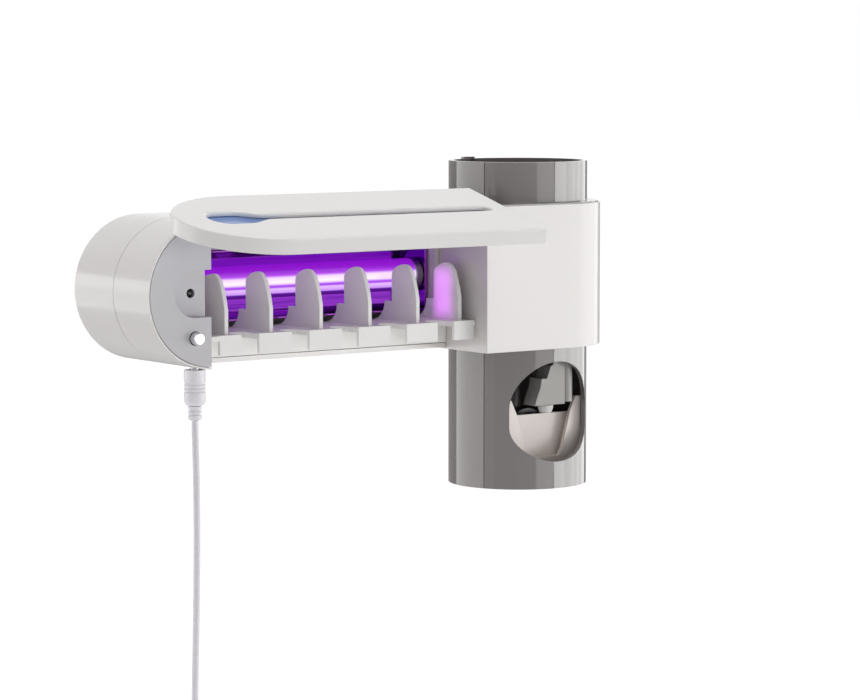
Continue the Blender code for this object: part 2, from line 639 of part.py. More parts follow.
def make_tray():
    """Shelf, lips, fins and the panel that turns down behind the necks, in one moulding."""
    left = PARTITION_X + GAP
    shelf_low = SHELF_TOP - SHELF_T
    tray = box("comb_tray", (left, TRAY_FRONT, shelf_low), (BODY_RIGHT, TRAY_BACK, SHELF_TOP), TRAY_GREY)
    slots = [TRAY_MID + TRAY_PITCH * k for k in (-2, -1, 0, 1, 2)]
    edges = [TRAY_MID - 2.5 * TRAY_PITCH - 0.0023, *slots, TRAY_MID + 2.5 * TRAY_PITCH + 0.0023]
    for k in range(6):
        low_x = edges[k] + NECK_GAP / 2 if k else edges[0]
        high_x = edges[k + 1] - NECK_GAP / 2 if k < 5 else edges[6]
        join(tray, box(f"lip_{k}", (low_x, TRAY_FRONT, LIP_BOTTOM), (high_x, TRAY_FRONT + LIP_T, LIP_TOP)))
    ends = (slots[0] - 0.0094, slots[4] + 0.0098)
    middles = [slot + TRAY_PITCH / 2 for slot in slots[:4]]
    for k, x in enumerate([ends[0], *middles, ends[1]]):
        join(tray, plate(f"fin_{k}", fin_outline(), x - FIN_T / 2, x + FIN_T / 2, "X"))
    join(tray, box("down_panel", (left, -0.0400, FLOOR_Z + GAP), (BODY_RIGHT, -0.0382, shelf_low + 0.0005)))
    for k, x in enumerate(slots):
        half = NECK_GAP / 2
        deep = TRAY_FRONT + NECK_DEPTH
        notch = [(x - half, TRAY_FRONT - 0.001)]
        notch += [(x + half, TRAY_FRONT - 0.001)]
        notch += arc(x, deep - half, half, 0, 180, 12)
        cut(tray, plate(f"neck_slot_{k}", notch, LIP_BOTTOM - 0.002, SHELF_TOP + 0.001, "Z"))
    cut(tray, box("tray_corner", (BODY_RIGHT - WALL - GAP, SEAM_Y - 2 * GAP, -0.03),
                  (BODY_RIGHT + 0.001, TRAY_BACK + 0.001, 0.0)))


def make_lamp():
    """Lamp tube with end caps, two bulkheads, the half-pipe mirror and the sloping white ceiling."""
    ring = [(LAMP_R, LAMP_ENDS[1] - LAMP_ENDS[0]), (LAMP_R, 0), (LAMP_R - 0.0008, 0),
            (LAMP_R - 0.0008, LAMP_ENDS[1] - LAMP_ENDS[0])]
    turned("uv_tube", ring, (LAMP_ENDS[0], LAMP_Y, LAMP_Z), "X", LAMP_GLASS, steps=32, closed=True)
    names = ("left", "right")
    for k, side in enumerate((-1, 1)):
        near, far = BULKHEADS[k]
        inner_face = far if side < 0 else near
        start = LAMP_ENDS[k] + side * GAP
        end = inner_face + (GAP if side < 0 else -GAP)
        cap = rod(f"tube_cap_{names[k]}", (min(start, end), LAMP_Y, LAMP_Z), max(start, end),
                  LAMP_R + 0.0004, "X", STEEL, None, 32)
        wall = box(f"lamp_bulkhead_{names[k]}", (near, -0.0300, SHELF_TOP + GAP), (far, -0.0060, 0.0135),
                   CHROME)
        for pin in (-1, 1):
            z = LAMP_Z + pin * 0.0032
            pin_low = min(end - side * 0.0005, far if side > 0 else near)
            pin_high = max(end - side * 0.0005, far if side > 0 else near)
            join(cap, rod(f"cap_pin_{k}_{pin + 1}", (pin_low, LAMP_Y, z), pin_high, 0.0008, "X", sides=12))
            cut(wall, rod(f"pin_hole_{k}_{pin + 1}", (near - 0.001, LAMP_Y, z), far + 0.001, 0.0011, "X",
                          sides=12))
    reach = math.degrees(MIRROR_HALF_ANGLE)
    section = arc(MIRROR_Y, 0, MIRROR_R, reach, -reach, 28)
    section += arc(MIRROR_Y, 0, MIRROR_R + MIRROR_T, -reach, reach, 28)
    plate("reflector", section, BULKHEADS[0][1] + GAP, BULKHEADS[1][0] - GAP, "X", CHROME)
    edge = MIRROR_Y - 0.0039
    low = MIRROR_R + 0.0010
    front = edge - 0.0198
    slope = [(front, ROOF_Z - 0.0012), (edge, low), (edge, low + 0.0014), (front, ROOF_Z - GAP)]
    ceiling = plate("lamp_ceiling", slope, PARTITION_X + GAP, BODY_RIGHT, "X", WHITE)
    cut(ceiling, box("ceiling_corner", (BODY_RIGHT - WALL - GAP, SEAM_Y - 2 * GAP, 0.0),
                     (BODY_RIGHT + 0.001, 0.0, 0.03)))


def cover_outline(inset):
    """The sleeve's outline in X and Y: flat left side and front, round right end."""
    radius = COVER_R - inset
    back = REAR_Y - inset
    end = math.degrees(math.asin((back - TUBE_Y) / radius))
    points = [(COVER_LEFT + inset, back), (COVER_LEFT + inset, COVER_FRONT + inset)]
    points += arc(TUBE_X, TUBE_Y, radius, -90, end, 28)
    return points


def make_cover():
    """The white sleeve and the two thin plates that close it round the upright cylinder."""
    low = -COVER_HALF_H + 0.0001
    high = COVER_HALF_H
    cover = plate("dispenser_cover", cover_outline(0), low, high, "Z", WHITE)
    cut(cover, plate("cover_hollow", cover_outline(COVER_WALL), low - 0.001, high + 0.001, "Z"))
    cut(cover, plate("cover_rebate", cover_outline(0.0008), high - 0.0012 - GAP, high + 0.001, "Z"))
    hole = TUBE_R + GAP
    cut(cover, rod("cover_back_gap", (TUBE_X, TUBE_Y, low - 0.001), high + 0.001, hole, "Z", sides=72))
    for k, (y, z) in enumerate(SLEEVE_SCREWS):
        inside = COVER_LEFT + COVER_WALL - 0.0005
        join(cover, rod(f"cover_boss_{k}", (inside, y, z), COVER_LEFT + 0.0070, 0.0028, "X"))
        cut(cover, rod(f"cover_bore_{k}", (COVER_LEFT - 0.001, y, z), COVER_LEFT + 0.0062,
                       SCREW_R + GAP, "X", sides=16))
    top = plate("dispenser_trim_top", cover_outline(0.0011), high - 0.0012, high + 0.0006, "Z", TAUPE)
    cut(top, rod("trim_hole_top", (TUBE_X, TUBE_Y, 0.02), 0.04, hole, "Z", sides=72))
    bottom = plate("dispenser_trim_bottom", cover_outline(COVER_WALL + GAP), low + 0.0005, low + 0.0023,
                   "Z", TAUPE)
    cut(bottom, rod("trim_hole_bottom", (TUBE_X, TUBE_Y, -0.04), -0.02, hole, "Z", sides=72))


def shell_sector(start, end, count):
    """A stretch of the upright cylinder's wall in X and Y, in degrees."""
    outer = arc(TUBE_X, TUBE_Y, TUBE_R, start, end, count)
    return outer + arc(TUBE_X, TUBE_Y, TUBE_BORE, end, start, count)


def make_cylinder():
    """The two halves of the upright cylinder, the mouth in its front and the base disc."""
    seam = math.degrees(TUBE_SEAM)
    slack = math.degrees(GAP / 2 / TUBE_R)
    front = plate("dispenser_front", shell_sector(-90 - seam + slack, -90 + seam - slack, 40),
                  TUBE_BOTTOM, TUBE_TOP, "Z", TAUPE)
    mouth = arc(MOUTH_X, MOUTH_UPPER[0], MOUTH_HALF, 0, 180, 28, MOUTH_UPPER[1])
    mouth += arc(MOUTH_X, MOUTH_LOWER[0], MOUTH_HALF, 180, 360, 24, MOUTH_LOWER[1])
    cut(front, plate("mouth", mouth, TUBE_Y - TUBE_R - 0.002, TUBE_Y - 0.014, "Y"))
    back = plate("dispenser_back", shell_sector(-90 + seam + slack, 270 - seam - slack, 48),
                 TUBE_BOTTOM, TUBE_TOP, "Z", TAUPE)
    join(back, box("rim_tab", (TUBE_X - 0.0090, TUBE_Y + TUBE_BORE - 0.00065, TUBE_TOP - 0.0005),
                   (TUBE_X - 0.0029, TUBE_Y + TUBE_R - 0.00075, TUBE_TOP + 0.0008)))
    floor = TUBE_BOTTOM + GAP
    base = rod("dispenser_base", (TUBE_X, TUBE_Y, floor), floor + 0.0020, TUBE_BORE - GAP, "Z",
               DARK_TAUPE, None, 48)
    for side in (-1, 1):
        x = TUBE_X + side * LEVER_LUG_X
        lug = [(LEVER_Y - 0.003, floor + 0.001), (LEVER_Y + 0.003, floor + 0.001)]
        lug += arc(LEVER_Y, LEVER_Z, 0.0024, 0, 180, 10)
        join(base, plate(f"lug_{side + 1}", lug, x - 0.0012, x + 0.0012, "X"))
    start = (TUBE_X - 0.02, LEVER_Y, LEVER_Z)
    cut(base, rod("lug_bore", start, TUBE_X + 0.02, PIN_R + GAP, "X", sides=16))


def make_feed():
    """The funnel for the paste tube's neck, its seal, the pump, the stepped nozzle and its tip."""
    wide = TUBE_BORE - 0.00035
    funnel = [(wide, 0.0030), (wide, -0.0020), (0.0098, -0.0080), (0.0098, -0.0120), (0.0079, -0.0120),
              (0.0079, -0.0060), (wide - 0.0015, 0.0002), (wide - 0.0015, 0.0030)]
    turned("tube_collar", funnel, (TUBE_X, TUBE_Y, 0), "Z", DARK_TAUPE, steps=36, closed=True)
    seal = [(0.0076, -0.0080), (0.0076, -0.0120), (0.0030, -0.0120), (0.0030, -0.0086), (0.0046, -0.0080)]
    turned("tube_seal", seal, (TUBE_X, TUBE_Y, 0), "Z", SILICONE, steps=20, closed=True)
    body = rod("pump_body", (TUBE_X, PUMP_FRONT, PUMP_Z), PUMP_BACK, PUMP_R, "Y", BLACK, None, 32)
    join(body, rod("feed_pipe", (TUBE_X, FEED_Y, PUMP_Z + PUMP_R - 0.002), -0.0140, 0.0045, "Z"),
         box("feed_foot", (TUBE_X - 0.0045, TUBE_Y - 0.0045, -0.0150), (TUBE_X + 0.0045, FEED_Y, -0.0123)),
         box("paste_duct", (TUBE_X - 0.0032, NOZZLE_BACK + GAP, DUCT_Z - 0.0036),
             (TUBE_X + 0.0032, FEED_Y, DUCT_Z + 0.0036)),
         box("pump_foot", (TUBE_X - 0.006, PUMP_BACK - 0.0005, PUMP_Z - 0.006),
             (TUBE_X + 0.006, TUBE_Y + TUBE_BORE - 0.00095, PUMP_Z + 0.006)))
    inside = PUMP_R - 0.0017
    start = (TUBE_X, PUMP_FRONT - 0.001, PUMP_Z)
    cut(body, rod("pump_bore", start, PUMP_BACK - 0.002, inside, "Y", sides=32),
        rod("feed_bore", (TUBE_X, FEED_Y, PUMP_Z), -0.0135, 0.0024, "Z", sides=16),
        box("feed_mouth", (TUBE_X - 0.0024, TUBE_Y - 0.0024, -0.0137), (TUBE_X + 0.0024, FEED_Y, -0.0100)),
        rod("duct_bore", (TUBE_X, NOZZLE_BACK - 0.001, DUCT_Z), FEED_Y, 0.0020, "Y", sides=16))
    steps = [(0.126, 1), (0.030, 0.75), (-0.013, 0.75), (-0.104, 0.51), (-0.235, 0.51), (-0.265, 0.33),
             (-0.361, 0.11), (-0.391, 0), (0.326, 0), (0.326, 1)]
    outline = [(TUBE_X + NOZZLE_HIGH * x, NOZZLE_Z + NOZZLE_HIGH * z) for x, z in steps]
    block = plate("nozzle_block", outline, NOZZLE_FRONT, NOZZLE_BACK, "Y", DARK_TAUPE)
    rib_x = TUBE_X + 0.326 * NOZZLE_HIGH + 0.0026
    join(block, rod("nozzle_rib", (rib_x, NOZZLE_FRONT + 0.0031, NOZZLE_Z + 0.0008),
                    NOZZLE_Z + NOZZLE_HIGH - 0.0010, 0.0031, "Z", sides=24))
    cut(block, rod("drop_bore", (TUBE_X, NOZZLE_Y, NOZZLE_Z - 0.001), DUCT_Z, 0.0018, "Z", sides=16),
        rod("cross_bore", (TUBE_X, NOZZLE_Y, DUCT_Z), NOZZLE_BACK + 0.001, 0.0018, "Y", sides=16))
    tip = [(0.0034, -GAP), (0.0034, -0.0016), (0.0026, -0.0036), (0.0014, -0.0036), (0.0016, -GAP)]
    turned("outlet_nozzle", tip, (TUBE_X, NOZZLE_Y, NOZZLE_Z), "Z", SILICONE, steps=20, closed=True)


def make_lever():
    """The push lever behind the brush, its pin, the pump's plunger and spring."""
    axle = bpy.data.objects.new("lever_axis", None)
    PARTS.objects.link(axle)
    axle.location = (TUBE_X, LEVER_Y, LEVER_Z)
    back = (-0.0010, 0.0008)
    half = WING_HALF - 0.0006
    web = WING_HALF - 0.0046
    neck = WING_HALF - 0.0088
    lever = box("push_lever", (-half, back[0], 0.0031), (half, back[1], LEVER_HIGH - 0.0072), CREAM, axle)
    front = LEVER_FRONT - LEVER_Y
    left_wing = [(-WING_HALF, LEVER_HIGH), (-WING_HALF, 0.0020)]
    v_side = [(0.0121 - WING_HALF, 0.0052), (0.0103 - WING_HALF, 0.0082),
              (0.0058 - WING_HALF, LEVER_HIGH - 0.0065), (0.0027 - WING_HALF, LEVER_HIGH)]
    frame = left_wing + [(-x, z) for x, z in reversed(left_wing)]
    frame += [(-x, z) for x, z in reversed(v_side)] + v_side
    join(lever, plate("wings", frame, front, front + 0.0018, "Y", None, axle),
         box("web", (-web, front + 0.0005, 0.0031), (web, back[1] - 0.0002, 0.0049), None, axle),
         box("neck", (-neck, back[0], 0.0005), (neck, back[1], 0.0036), None, axle))
    for side in (-1, 1):
        x = side * (WING_HALF - 0.0036)
        join(lever, box(f"rib_{side + 1}", (x - 0.0007, front + 0.0010, 0.0030),
                        (x + 0.0007, back[0] + 0.0005, LEVER_HIGH - 0.0094), None, axle))
    barrel = LEVER_LUG_X - 0.0016
    join(lever, rod("lever_barrel", (-barrel, 0, 0), barrel, BARREL_R, "X", None, axle, 20))
    cut(lever, rod("lever_bore", (-barrel - 0.001, 0, 0), barrel + 0.001, PIN_R + GAP, "X", None, axle, 16))
    pin = LEVER_LUG_X + 0.0022
    rod("lever_pin", (TUBE_X - pin, LEVER_Y, LEVER_Z), TUBE_X + pin, PIN_R, "X", STEEL, None, 10)
    touch = LEVER_Y + back[1] + GAP
    head = PUMP_FRONT + 0.0040
    plunger = [(0, 0.0030), (PUMP_R - 0.0021, 0.0030), (PUMP_R - 0.0021, 0), (0.0025, 0),
               (0.0025, touch + 0.0015 - head), (0.0030, touch + 0.0015 - head), (0.0030, touch - head),
               (0, touch - head)]
    turned("pump_plunger", plunger, (TUBE_X, head, PUMP_Z), "Y", SILICONE, steps=28)
    wire_r = 0.0004
    points = coil((TUBE_X, PUMP_Z), 0.0050, head + 0.0030 + GAP + wire_r, PUMP_BACK - 0.002 - GAP - wire_r, 5)
    wire("pump_spring", points, wire_r, STEEL, resolution=1)


def make_screws():
    """Four case screws from behind and two sleeve screws from inside the body."""
    for k, (x, z, end) in enumerate(CASE_SCREWS):
        head = REAR_Y - 0.0001
        length = head - (end + 0.0016)
        profile = [(0, 0), (0.0019, 0), (0.0019, -0.0008), (SCREW_R, -0.0010), (SCREW_R, -length + 0.0008),
                   (0, -length)]
        turned(f"case_screw_{k + 1}", profile, (x, head, z), "Y", STEEL, steps=10)
    for k, (y, z) in enumerate(SLEEVE_SCREWS):
        head = BODY_RIGHT - WALL - GAP
        profile = [(0, 0.0066), (SCREW_R, 0.0058), (SCREW_R, 0), (0.0021, 0), (0.0021, -0.0014), (0, -0.0014)]
        turned(f"sleeve_screw_{k + 1}", profile, (head, y, z), "X", STEEL, steps=10)


def make_wall_plate():
    """The plate on the wall, with two headed studs for the keyholes, and the adhesive pad."""
    corners = []
    for side, end, start in ((1, 1, 0), (-1, 1, 90), (-1, -1, 180), (1, -1, 270)):
        centre = (PLATE_X + side * PLATE_HALF_W, end * PLATE_HALF_H)
        corners += arc(*centre, PLATE_CORNER, start, start + 90, 4)
    holder = plate("wall_plate", corners, REAR_Y + GAP, -0.0010, "Y", WHITE)
    for k, x in enumerate(STUD_XS):
        profile = [(0.0016, 0.0055), (0.0016, 0.0024), (0.0031, 0.0022), (0.0031, 0.0006), (0.0025, 0),
                   (0, 0)]
        profile.insert(0, (0, 0.0055))
        join(holder, turned(f"stud_{k}", profile, (x, REAR_Y - WALL - GAP - 0.0022, STUD_Z), "Y",
                            steps=16))
    pad = [(x * 0.96 - 0.0010, z * 0.92) for x, z in corners]
    plate("adhesive_pad", pad, -0.0010 + GAP, 0.0, "Y", FOAM)


def smooth_route(stations, step):
    """Points about one step apart on a smooth curve through hand-set stations (x, y, z)."""
    places = [Vector(s) for s in stations]
    padded = [2 * places[0] - places[1], *places, 2 * places[-1] - places[-2]]
    points = []
    for k in range(len(places) - 1):
        a, b, c, d = padded[k:k + 4]
        count = max(1, round((c - b).length / step))
        for j in range(count):
            t = j / count
            points.append(0.5 * (2 * b + (c - a) * t + (2 * a - 5 * b + 4 * c - d) * t * t
                                 + (3 * b - 3 * c + d - a) * t * t * t))
    points.append(places[-1])
    return points


def loop_place(turn, width):
    """A place on one loop: down one run, round the bottom, up the other run and over the top."""
    run = HANK_H - HANK_W
    station = 24 * (turn % 1.0)
    if station < 2:
        return width, -run * station / 2
    if station < 10:
        angle = math.pi * (station - 2) / 8
        return width * math.cos(angle), -run - width * math.sin(angle)
    if station < 14:
        return -width, run * (station - 12) / 2
    if station < 22:
        angle = math.pi * (station - 14) / 8
        return -width * math.cos(angle), run + width * math.sin(angle)
    return width, run * (24 - station) / 2


def hank_points():
    """Five loops in two layers: spiral in, climb half a turn down one long run, spiral out."""
    turn_in = 2.25
    climb = 0.5
    turns = 2 * turn_in + climb
    count = round(24 * turns)
    points = []

    def place(x, z, layer):
        drawn = x - math.copysign(HANK_WAIST, x) * math.exp(-(z / 0.012) ** 2)
        points.append(Vector((HANK_X - drawn, PLUG_Y + HANK_LAYER * layer, HANK_Z + z)))

    for k in range(4):
        place(HANK_W, (HANK_H + HANK_LEAD) * (1 - k / 4), 0)
    for k in range(count + 1):
        turn = turns * k / count
        depth = min(turn, turn_in, turns - turn)
        part = min(max((turn - turn_in) / climb, 0.0), 1.0)
        x, z = loop_place(turn, HANK_W - HANK_PITCH * depth)
        place(x, z, part * part * (3 - 2 * part))
    for k in range(1, 5):
        place(HANK_W, -k * (HANK_H + HANK_LEAD) / 4, 1)
    return points


def least_gap(points, radius):
    """The smallest clear distance between stretches of the tube that aren't neighbours."""
    fine = []
    for a, b in zip(points, points[1:]):
        fine += [a.lerp(b, k / 4) for k in range(4)]
    least = 1.0
    for k, a in enumerate(fine):
        for b in fine[k + 16:]:
            least = min(least, (a - b).length)
    return least - 2 * radius


def make_cord():
    """The plug with its pin and strain relief, the lead, the hank, its tie and the tail."""
    grooves = []
    for k in range(3):
        top = -0.0054 - 0.0015 * k
        grooves += [(0.0044, top), (0.0040, top - 0.0002), (0.0040, top - 0.0006), (0.0044, top - 0.0008)]
    body = [(0, -0.0054), (0.00205, -0.0054), (0.00205, 0), (0.0041, 0), (0.0044, -0.0003), *grooves,
            (0.0044, -0.0128), (0.0040, -0.0138), (0.0034, -0.0146), (0, -0.0146)]
    turned("dc_plug", body, (PLUG_X, PLUG_Y, PLUG_TOP), "Z", CORD, steps=20)
    pin = [(0, 0.0081), (0.0014, 0.0081), (0.00175, 0.0077), (0.00175, -0.0051), (0, -0.0051)]
    turned("plug_pin", pin, (PLUG_X, PLUG_Y, PLUG_TOP), "Z", CHROME, steps=12)
    relief = [(0, -0.0149), (0.0028, -0.0149)]
    for k in range(2):
        top = -0.0162 - 0.0016 * k
        relief += [(0.0028, top), (0.0023, top - 0.0002), (0.0023, top - 0.0006), (0.0028, top - 0.0008)]
    relief += [(0.0028, -0.0200), (0.0024, -0.0206), (0, -0.0206)]
    turned("plug_collar", relief, (PLUG_X, PLUG_Y, PLUG_TOP), "Z", CORD, steps=16)
    start = PLUG_TOP - 0.0206 - GAP
    end = HANK_Z + HANK_H + HANK_LEAD
    lead_x = HANK_X - HANK_W
    stations = [(PLUG_X, PLUG_Y, start), (PLUG_X, PLUG_Y, start - 0.0040), (-0.0962, PLUG_Y, -0.0720),
                (-0.0960, PLUG_Y, -0.0950), (-0.0963, PLUG_Y, -0.1200), (-0.0970, PLUG_Y, -0.1480),
                (lead_x, PLUG_Y, end + 0.0045), (lead_x, PLUG_Y, end + GAP)]
    wire("cord_lead", smooth_route(stations, 0.0070), CORD_R, CORD)
    loops = hank_points()
    print("least gap of the hank to itself, mm:", round(1000 * least_gap(loops, CORD_R), 2))
    length = sum((b - a).length for a, b in zip(loops, loops[1:]))
    print("length of the hank, mm:", round(1000 * length))
    wire("cord_hank", loops, CORD_R, CORD, resolution=1)
    half_x = HANK_W - HANK_WAIST + CORD_R + 0.0019
    half_y = (HANK_LAYER + 2 * CORD_R) / 2 + 0.0005
    middle_y = PLUG_Y + HANK_LAYER / 2

    def band(grow):
        radius = half_y + grow
        straight = half_x - half_y
        points = arc(HANK_X + straight, middle_y, radius, -90, 90, 10)
        return points + arc(HANK_X - straight, middle_y, radius, 90, 270, 10)

    plate("hank_tie", band(0.0009), HANK_Z - 0.0025, HANK_Z + 0.0025, "Z", BLACK, None, band(0))
    tail_y = PLUG_Y + HANK_LAYER
    tail_top = HANK_Z - HANK_H - HANK_LEAD - GAP
    tail_end = tail_top - TAIL_LENGTH
    stations = [(lead_x, tail_y, tail_top), (lead_x, tail_y, tail_top - 0.0045),
                (lead_x + 0.0006, tail_y, tail_top - 0.0170), (lead_x, tail_y, tail_end + 0.0045),
                (lead_x, tail_y, tail_end)]
    wire("cord_tail", smooth_route(stations, 0.0070), CORD_R, CORD)
    top = tail_end - GAP
    sleeve = [(0, 0), (0.0022, 0), (0.0030, -0.0080), (0, -0.0080)]
    usb = box("usb_plug", (lead_x - 0.0061, tail_y - 0.0037, top - 0.0280),
              (lead_x + 0.0061, tail_y + 0.0037, top - 0.0070), CORD)
    round_edges(usb, 0.0010, lambda a, b: True, 2)
    join(usb, turned("usb_neck", sleeve, (lead_x, tail_y, top), "Z", steps=20))
    end = top - 0.0280 - GAP
    shell = box("usb_shell", (lead_x - 0.0060, tail_y - 0.00225, end - 0.0120),
                (lead_x + 0.0060, tail_y + 0.00225, end), STEEL)
    cut(shell, box("usb_mouth", (lead_x - 0.0057, tail_y - 0.00195, end - 0.0130),
                   (lead_x + 0.0057, tail_y + 0.00195, end - 0.0020)))


make_rear_housing()
make_front_housing()
make_end_panel()
make_plunger()
make_board()
make_lid()
make_tray()
make_lamp()
make_cover()
make_cylinder()
make_feed()
make_lever()
make_screws()
make_wall_plate()
make_cord()
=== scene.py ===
# %% [markdown]
# # A toothbrush sterilizer with a toothpaste dispenser
#
# The object hangs from a plate with a foam pad on its back. A white body with a round left
# end holds a violet lamp behind a comb of fins, and a flap stands open over it. At the right
# stands a taupe cylinder, the dispenser, with a lever in its mouth. The solids come from the
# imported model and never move. This notebook gives them their edges, finishes, light and camera.

# %% Load the frame
import json
import math

import bmesh
import bpy
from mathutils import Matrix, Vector


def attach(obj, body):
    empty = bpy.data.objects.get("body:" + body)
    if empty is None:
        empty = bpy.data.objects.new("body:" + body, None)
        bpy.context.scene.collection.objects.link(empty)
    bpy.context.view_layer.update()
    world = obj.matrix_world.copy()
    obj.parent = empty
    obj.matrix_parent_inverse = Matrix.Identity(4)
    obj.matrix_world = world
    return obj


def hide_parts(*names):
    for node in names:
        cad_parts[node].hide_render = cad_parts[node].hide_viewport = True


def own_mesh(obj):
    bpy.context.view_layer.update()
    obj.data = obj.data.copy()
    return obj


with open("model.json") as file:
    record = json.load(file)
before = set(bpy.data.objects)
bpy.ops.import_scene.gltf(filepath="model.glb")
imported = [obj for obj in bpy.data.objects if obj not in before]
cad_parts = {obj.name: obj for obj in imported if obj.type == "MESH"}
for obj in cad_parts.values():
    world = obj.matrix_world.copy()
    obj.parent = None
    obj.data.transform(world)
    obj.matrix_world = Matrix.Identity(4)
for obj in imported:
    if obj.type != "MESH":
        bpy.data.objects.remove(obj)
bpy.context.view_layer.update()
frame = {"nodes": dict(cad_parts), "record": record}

nodes = frame["nodes"]

# %% [markdown]
# ## The camera
#
# The object is seen from the left and a little from above. A long lens far away keeps its
# parallel edges nearly parallel. A camera can be aimed with a Track To constraint, but plain
# angles are easier to read and to compare with a picture, so it gets its place and angles.

# %% Camera
CAMERA_PLACE = (-0.80406, -1.18338, 0.10066)
LOOK_DOWN, LOOK_RIGHT = 5.32, 36.20
camera_data = bpy.data.cameras.new("view_from_the_left")
camera_data.sensor_width = 36.0
camera_data.lens = 138.04
camera_data.clip_end = 30.0
camera = bpy.data.objects.new("view_from_the_left", camera_data)
camera.location = CAMERA_PLACE
camera.rotation_euler = (math.radians(90 - LOOK_DOWN), 0, math.radians(-LOOK_RIGHT))
bpy.context.scene.collection.objects.link(camera)
bpy.context.scene.camera = camera
print("camera: looks down by", LOOK_DOWN, "and to the right by", LOOK_RIGHT, "degrees")

# %% [markdown]
# ## The lead
#
# A thin, soft lead hangs from the plug under the round end. It is about 1.1 m long. What the camera doesn't
# see is folded into a hank with a tie, over a short tail and a USB plug. A lead could be a swept mesh or a
# simulated rope. A curve with a round bevel is chosen, because its line is the lead's centre and one value
# sets its thickness. The free run goes through a few listed stations, and a formula makes a smooth line of
# them.

# %% Sizes of the lead
CORD_R = 0.001375
GAP = 0.0003
PLUG_X, PLUG_Y, PLUG_TOP, PLUG_LONG = -0.0966, -0.0555, -0.0309, 0.0206
HANK_X, HANK_Z, HANK_W, HANK_H, HANK_LEAD = -0.0805, -0.2190, 0.0170, 0.0410, 0.0060
HANK_PITCH, HANK_LAYER, HANK_WAIST, WAIST_REACH = 0.0038, 0.0037, 0.0022, 0.0120
TAIL_LENGTH, ROUTE_STEP = 0.0300, 0.0070
lead_x = HANK_X - HANK_W
lead_top = PLUG_TOP - PLUG_LONG - GAP
lead_end = HANK_Z + HANK_H + HANK_LEAD
print("lead's diameter in mm:", 2000 * CORD_R)


# %% A smooth route through stations
def smooth_route(stations, step):
    """Points about one step apart on a smooth curve through stations (x, y, z)."""
    places = [Vector(s) for s in stations]
    padded = [2 * places[0] - places[1], *places, 2 * places[-1] - places[-2]]
    points = []
    for k in range(len(places) - 1):
        a, b, c, d = padded[k:k + 4]
        count = max(1, round((c - b).length / step))
        for j in range(count):
            t = j / count
            points.append(0.5 * (2 * b + (c - a) * t + (2 * a - 5 * b + 4 * c - d) * t * t
                                 + (3 * b - 3 * c + d - a) * t * t * t))
    points.append(places[-1])
    return points


lead_route = smooth_route(
    [(PLUG_X, PLUG_Y, lead_top), (PLUG_X, PLUG_Y, lead_top - 0.0040), (-0.0962, PLUG_Y, -0.0720),
     (-0.0960, PLUG_Y, -0.0950), (-0.0963, PLUG_Y, -0.1200), (-0.0970, PLUG_Y, -0.1480),
     (lead_x, PLUG_Y, lead_end + 0.0045), (lead_x, PLUG_Y, lead_end)], ROUTE_STEP)
print("lead stations:", len(lead_route))

# %% [markdown]
# The hank is five long loops in two layers. Each loop is a stadium: two straight runs and
# two half rounds. Loops could be copied as closed rings, but a real hank is one lead, so the
# route spirals inwards in the front layer, climbs during half a turn, and spirals out again
# behind. The tie draws the runs together at the waist.


# %% The hank's route
def loop_place(turn, width):
    """A place on one loop: down one run, round the bottom, up the other run and over the top."""
    run = HANK_H - HANK_W
    station = 24 * (turn % 1.0)
    if station < 2:
        return width, -run * station / 2
    if station < 10:
        angle = math.pi * (station - 2) / 8
        return width * math.cos(angle), -run - width * math.sin(angle)
    if station < 14:
        return -width, run * (station - 12) / 2
    if station < 22:
        angle = math.pi * (station - 14) / 8
        return -width * math.cos(angle), run + width * math.sin(angle)
    return width, run * (24 - station) / 2


def hank_route():
    """In through the front layer, half a turn of climb, and out through the back layer."""
    turn_in, climb = 2.25, 0.5
    turns = 2 * turn_in + climb
    points = []

    def place(x, z, layer):
        drawn = x - math.copysign(HANK_WAIST, x) * math.exp(-(z / WAIST_REACH) ** 2)
        points.append(Vector((HANK_X - drawn, PLUG_Y + HANK_LAYER * layer, HANK_Z + z)))

    for k in range(4):
        place(HANK_W, (HANK_H + HANK_LEAD) * (1 - k / 4), 0)
    count = round(24 * turns)
    for k in range(count + 1):
        turn = turns * k / count
        depth = min(turn, turn_in, turns - turn)
        part = min(max((turn - turn_in) / climb, 0.0), 1.0)
        x, z = loop_place(turn, HANK_W - HANK_PITCH * depth)
        place(x, z, part * part * (3 - 2 * part))
    for k in range(1, 5):
        place(HANK_W, -k * (HANK_H + HANK_LEAD) / 4, 1)
    return points


hank = hank_route()
print("hank stations:", len(hank))

# %% The tail and the whole route
tail_y = PLUG_Y + HANK_LAYER
tail_top = HANK_Z - HANK_H - HANK_LEAD
tail_end = tail_top - GAP - TAIL_LENGTH
tail_route = smooth_route(
    [(lead_x, tail_y, tail_top), (lead_x, tail_y, tail_top - 0.0048),
     (lead_x + 0.0006, tail_y, tail_top - 0.0173), (lead_x, tail_y, tail_end + 0.0045),
     (lead_x, tail_y, tail_end)], ROUTE_STEP)
whole_route = lead_route[:-1] + hank + tail_route[1:]

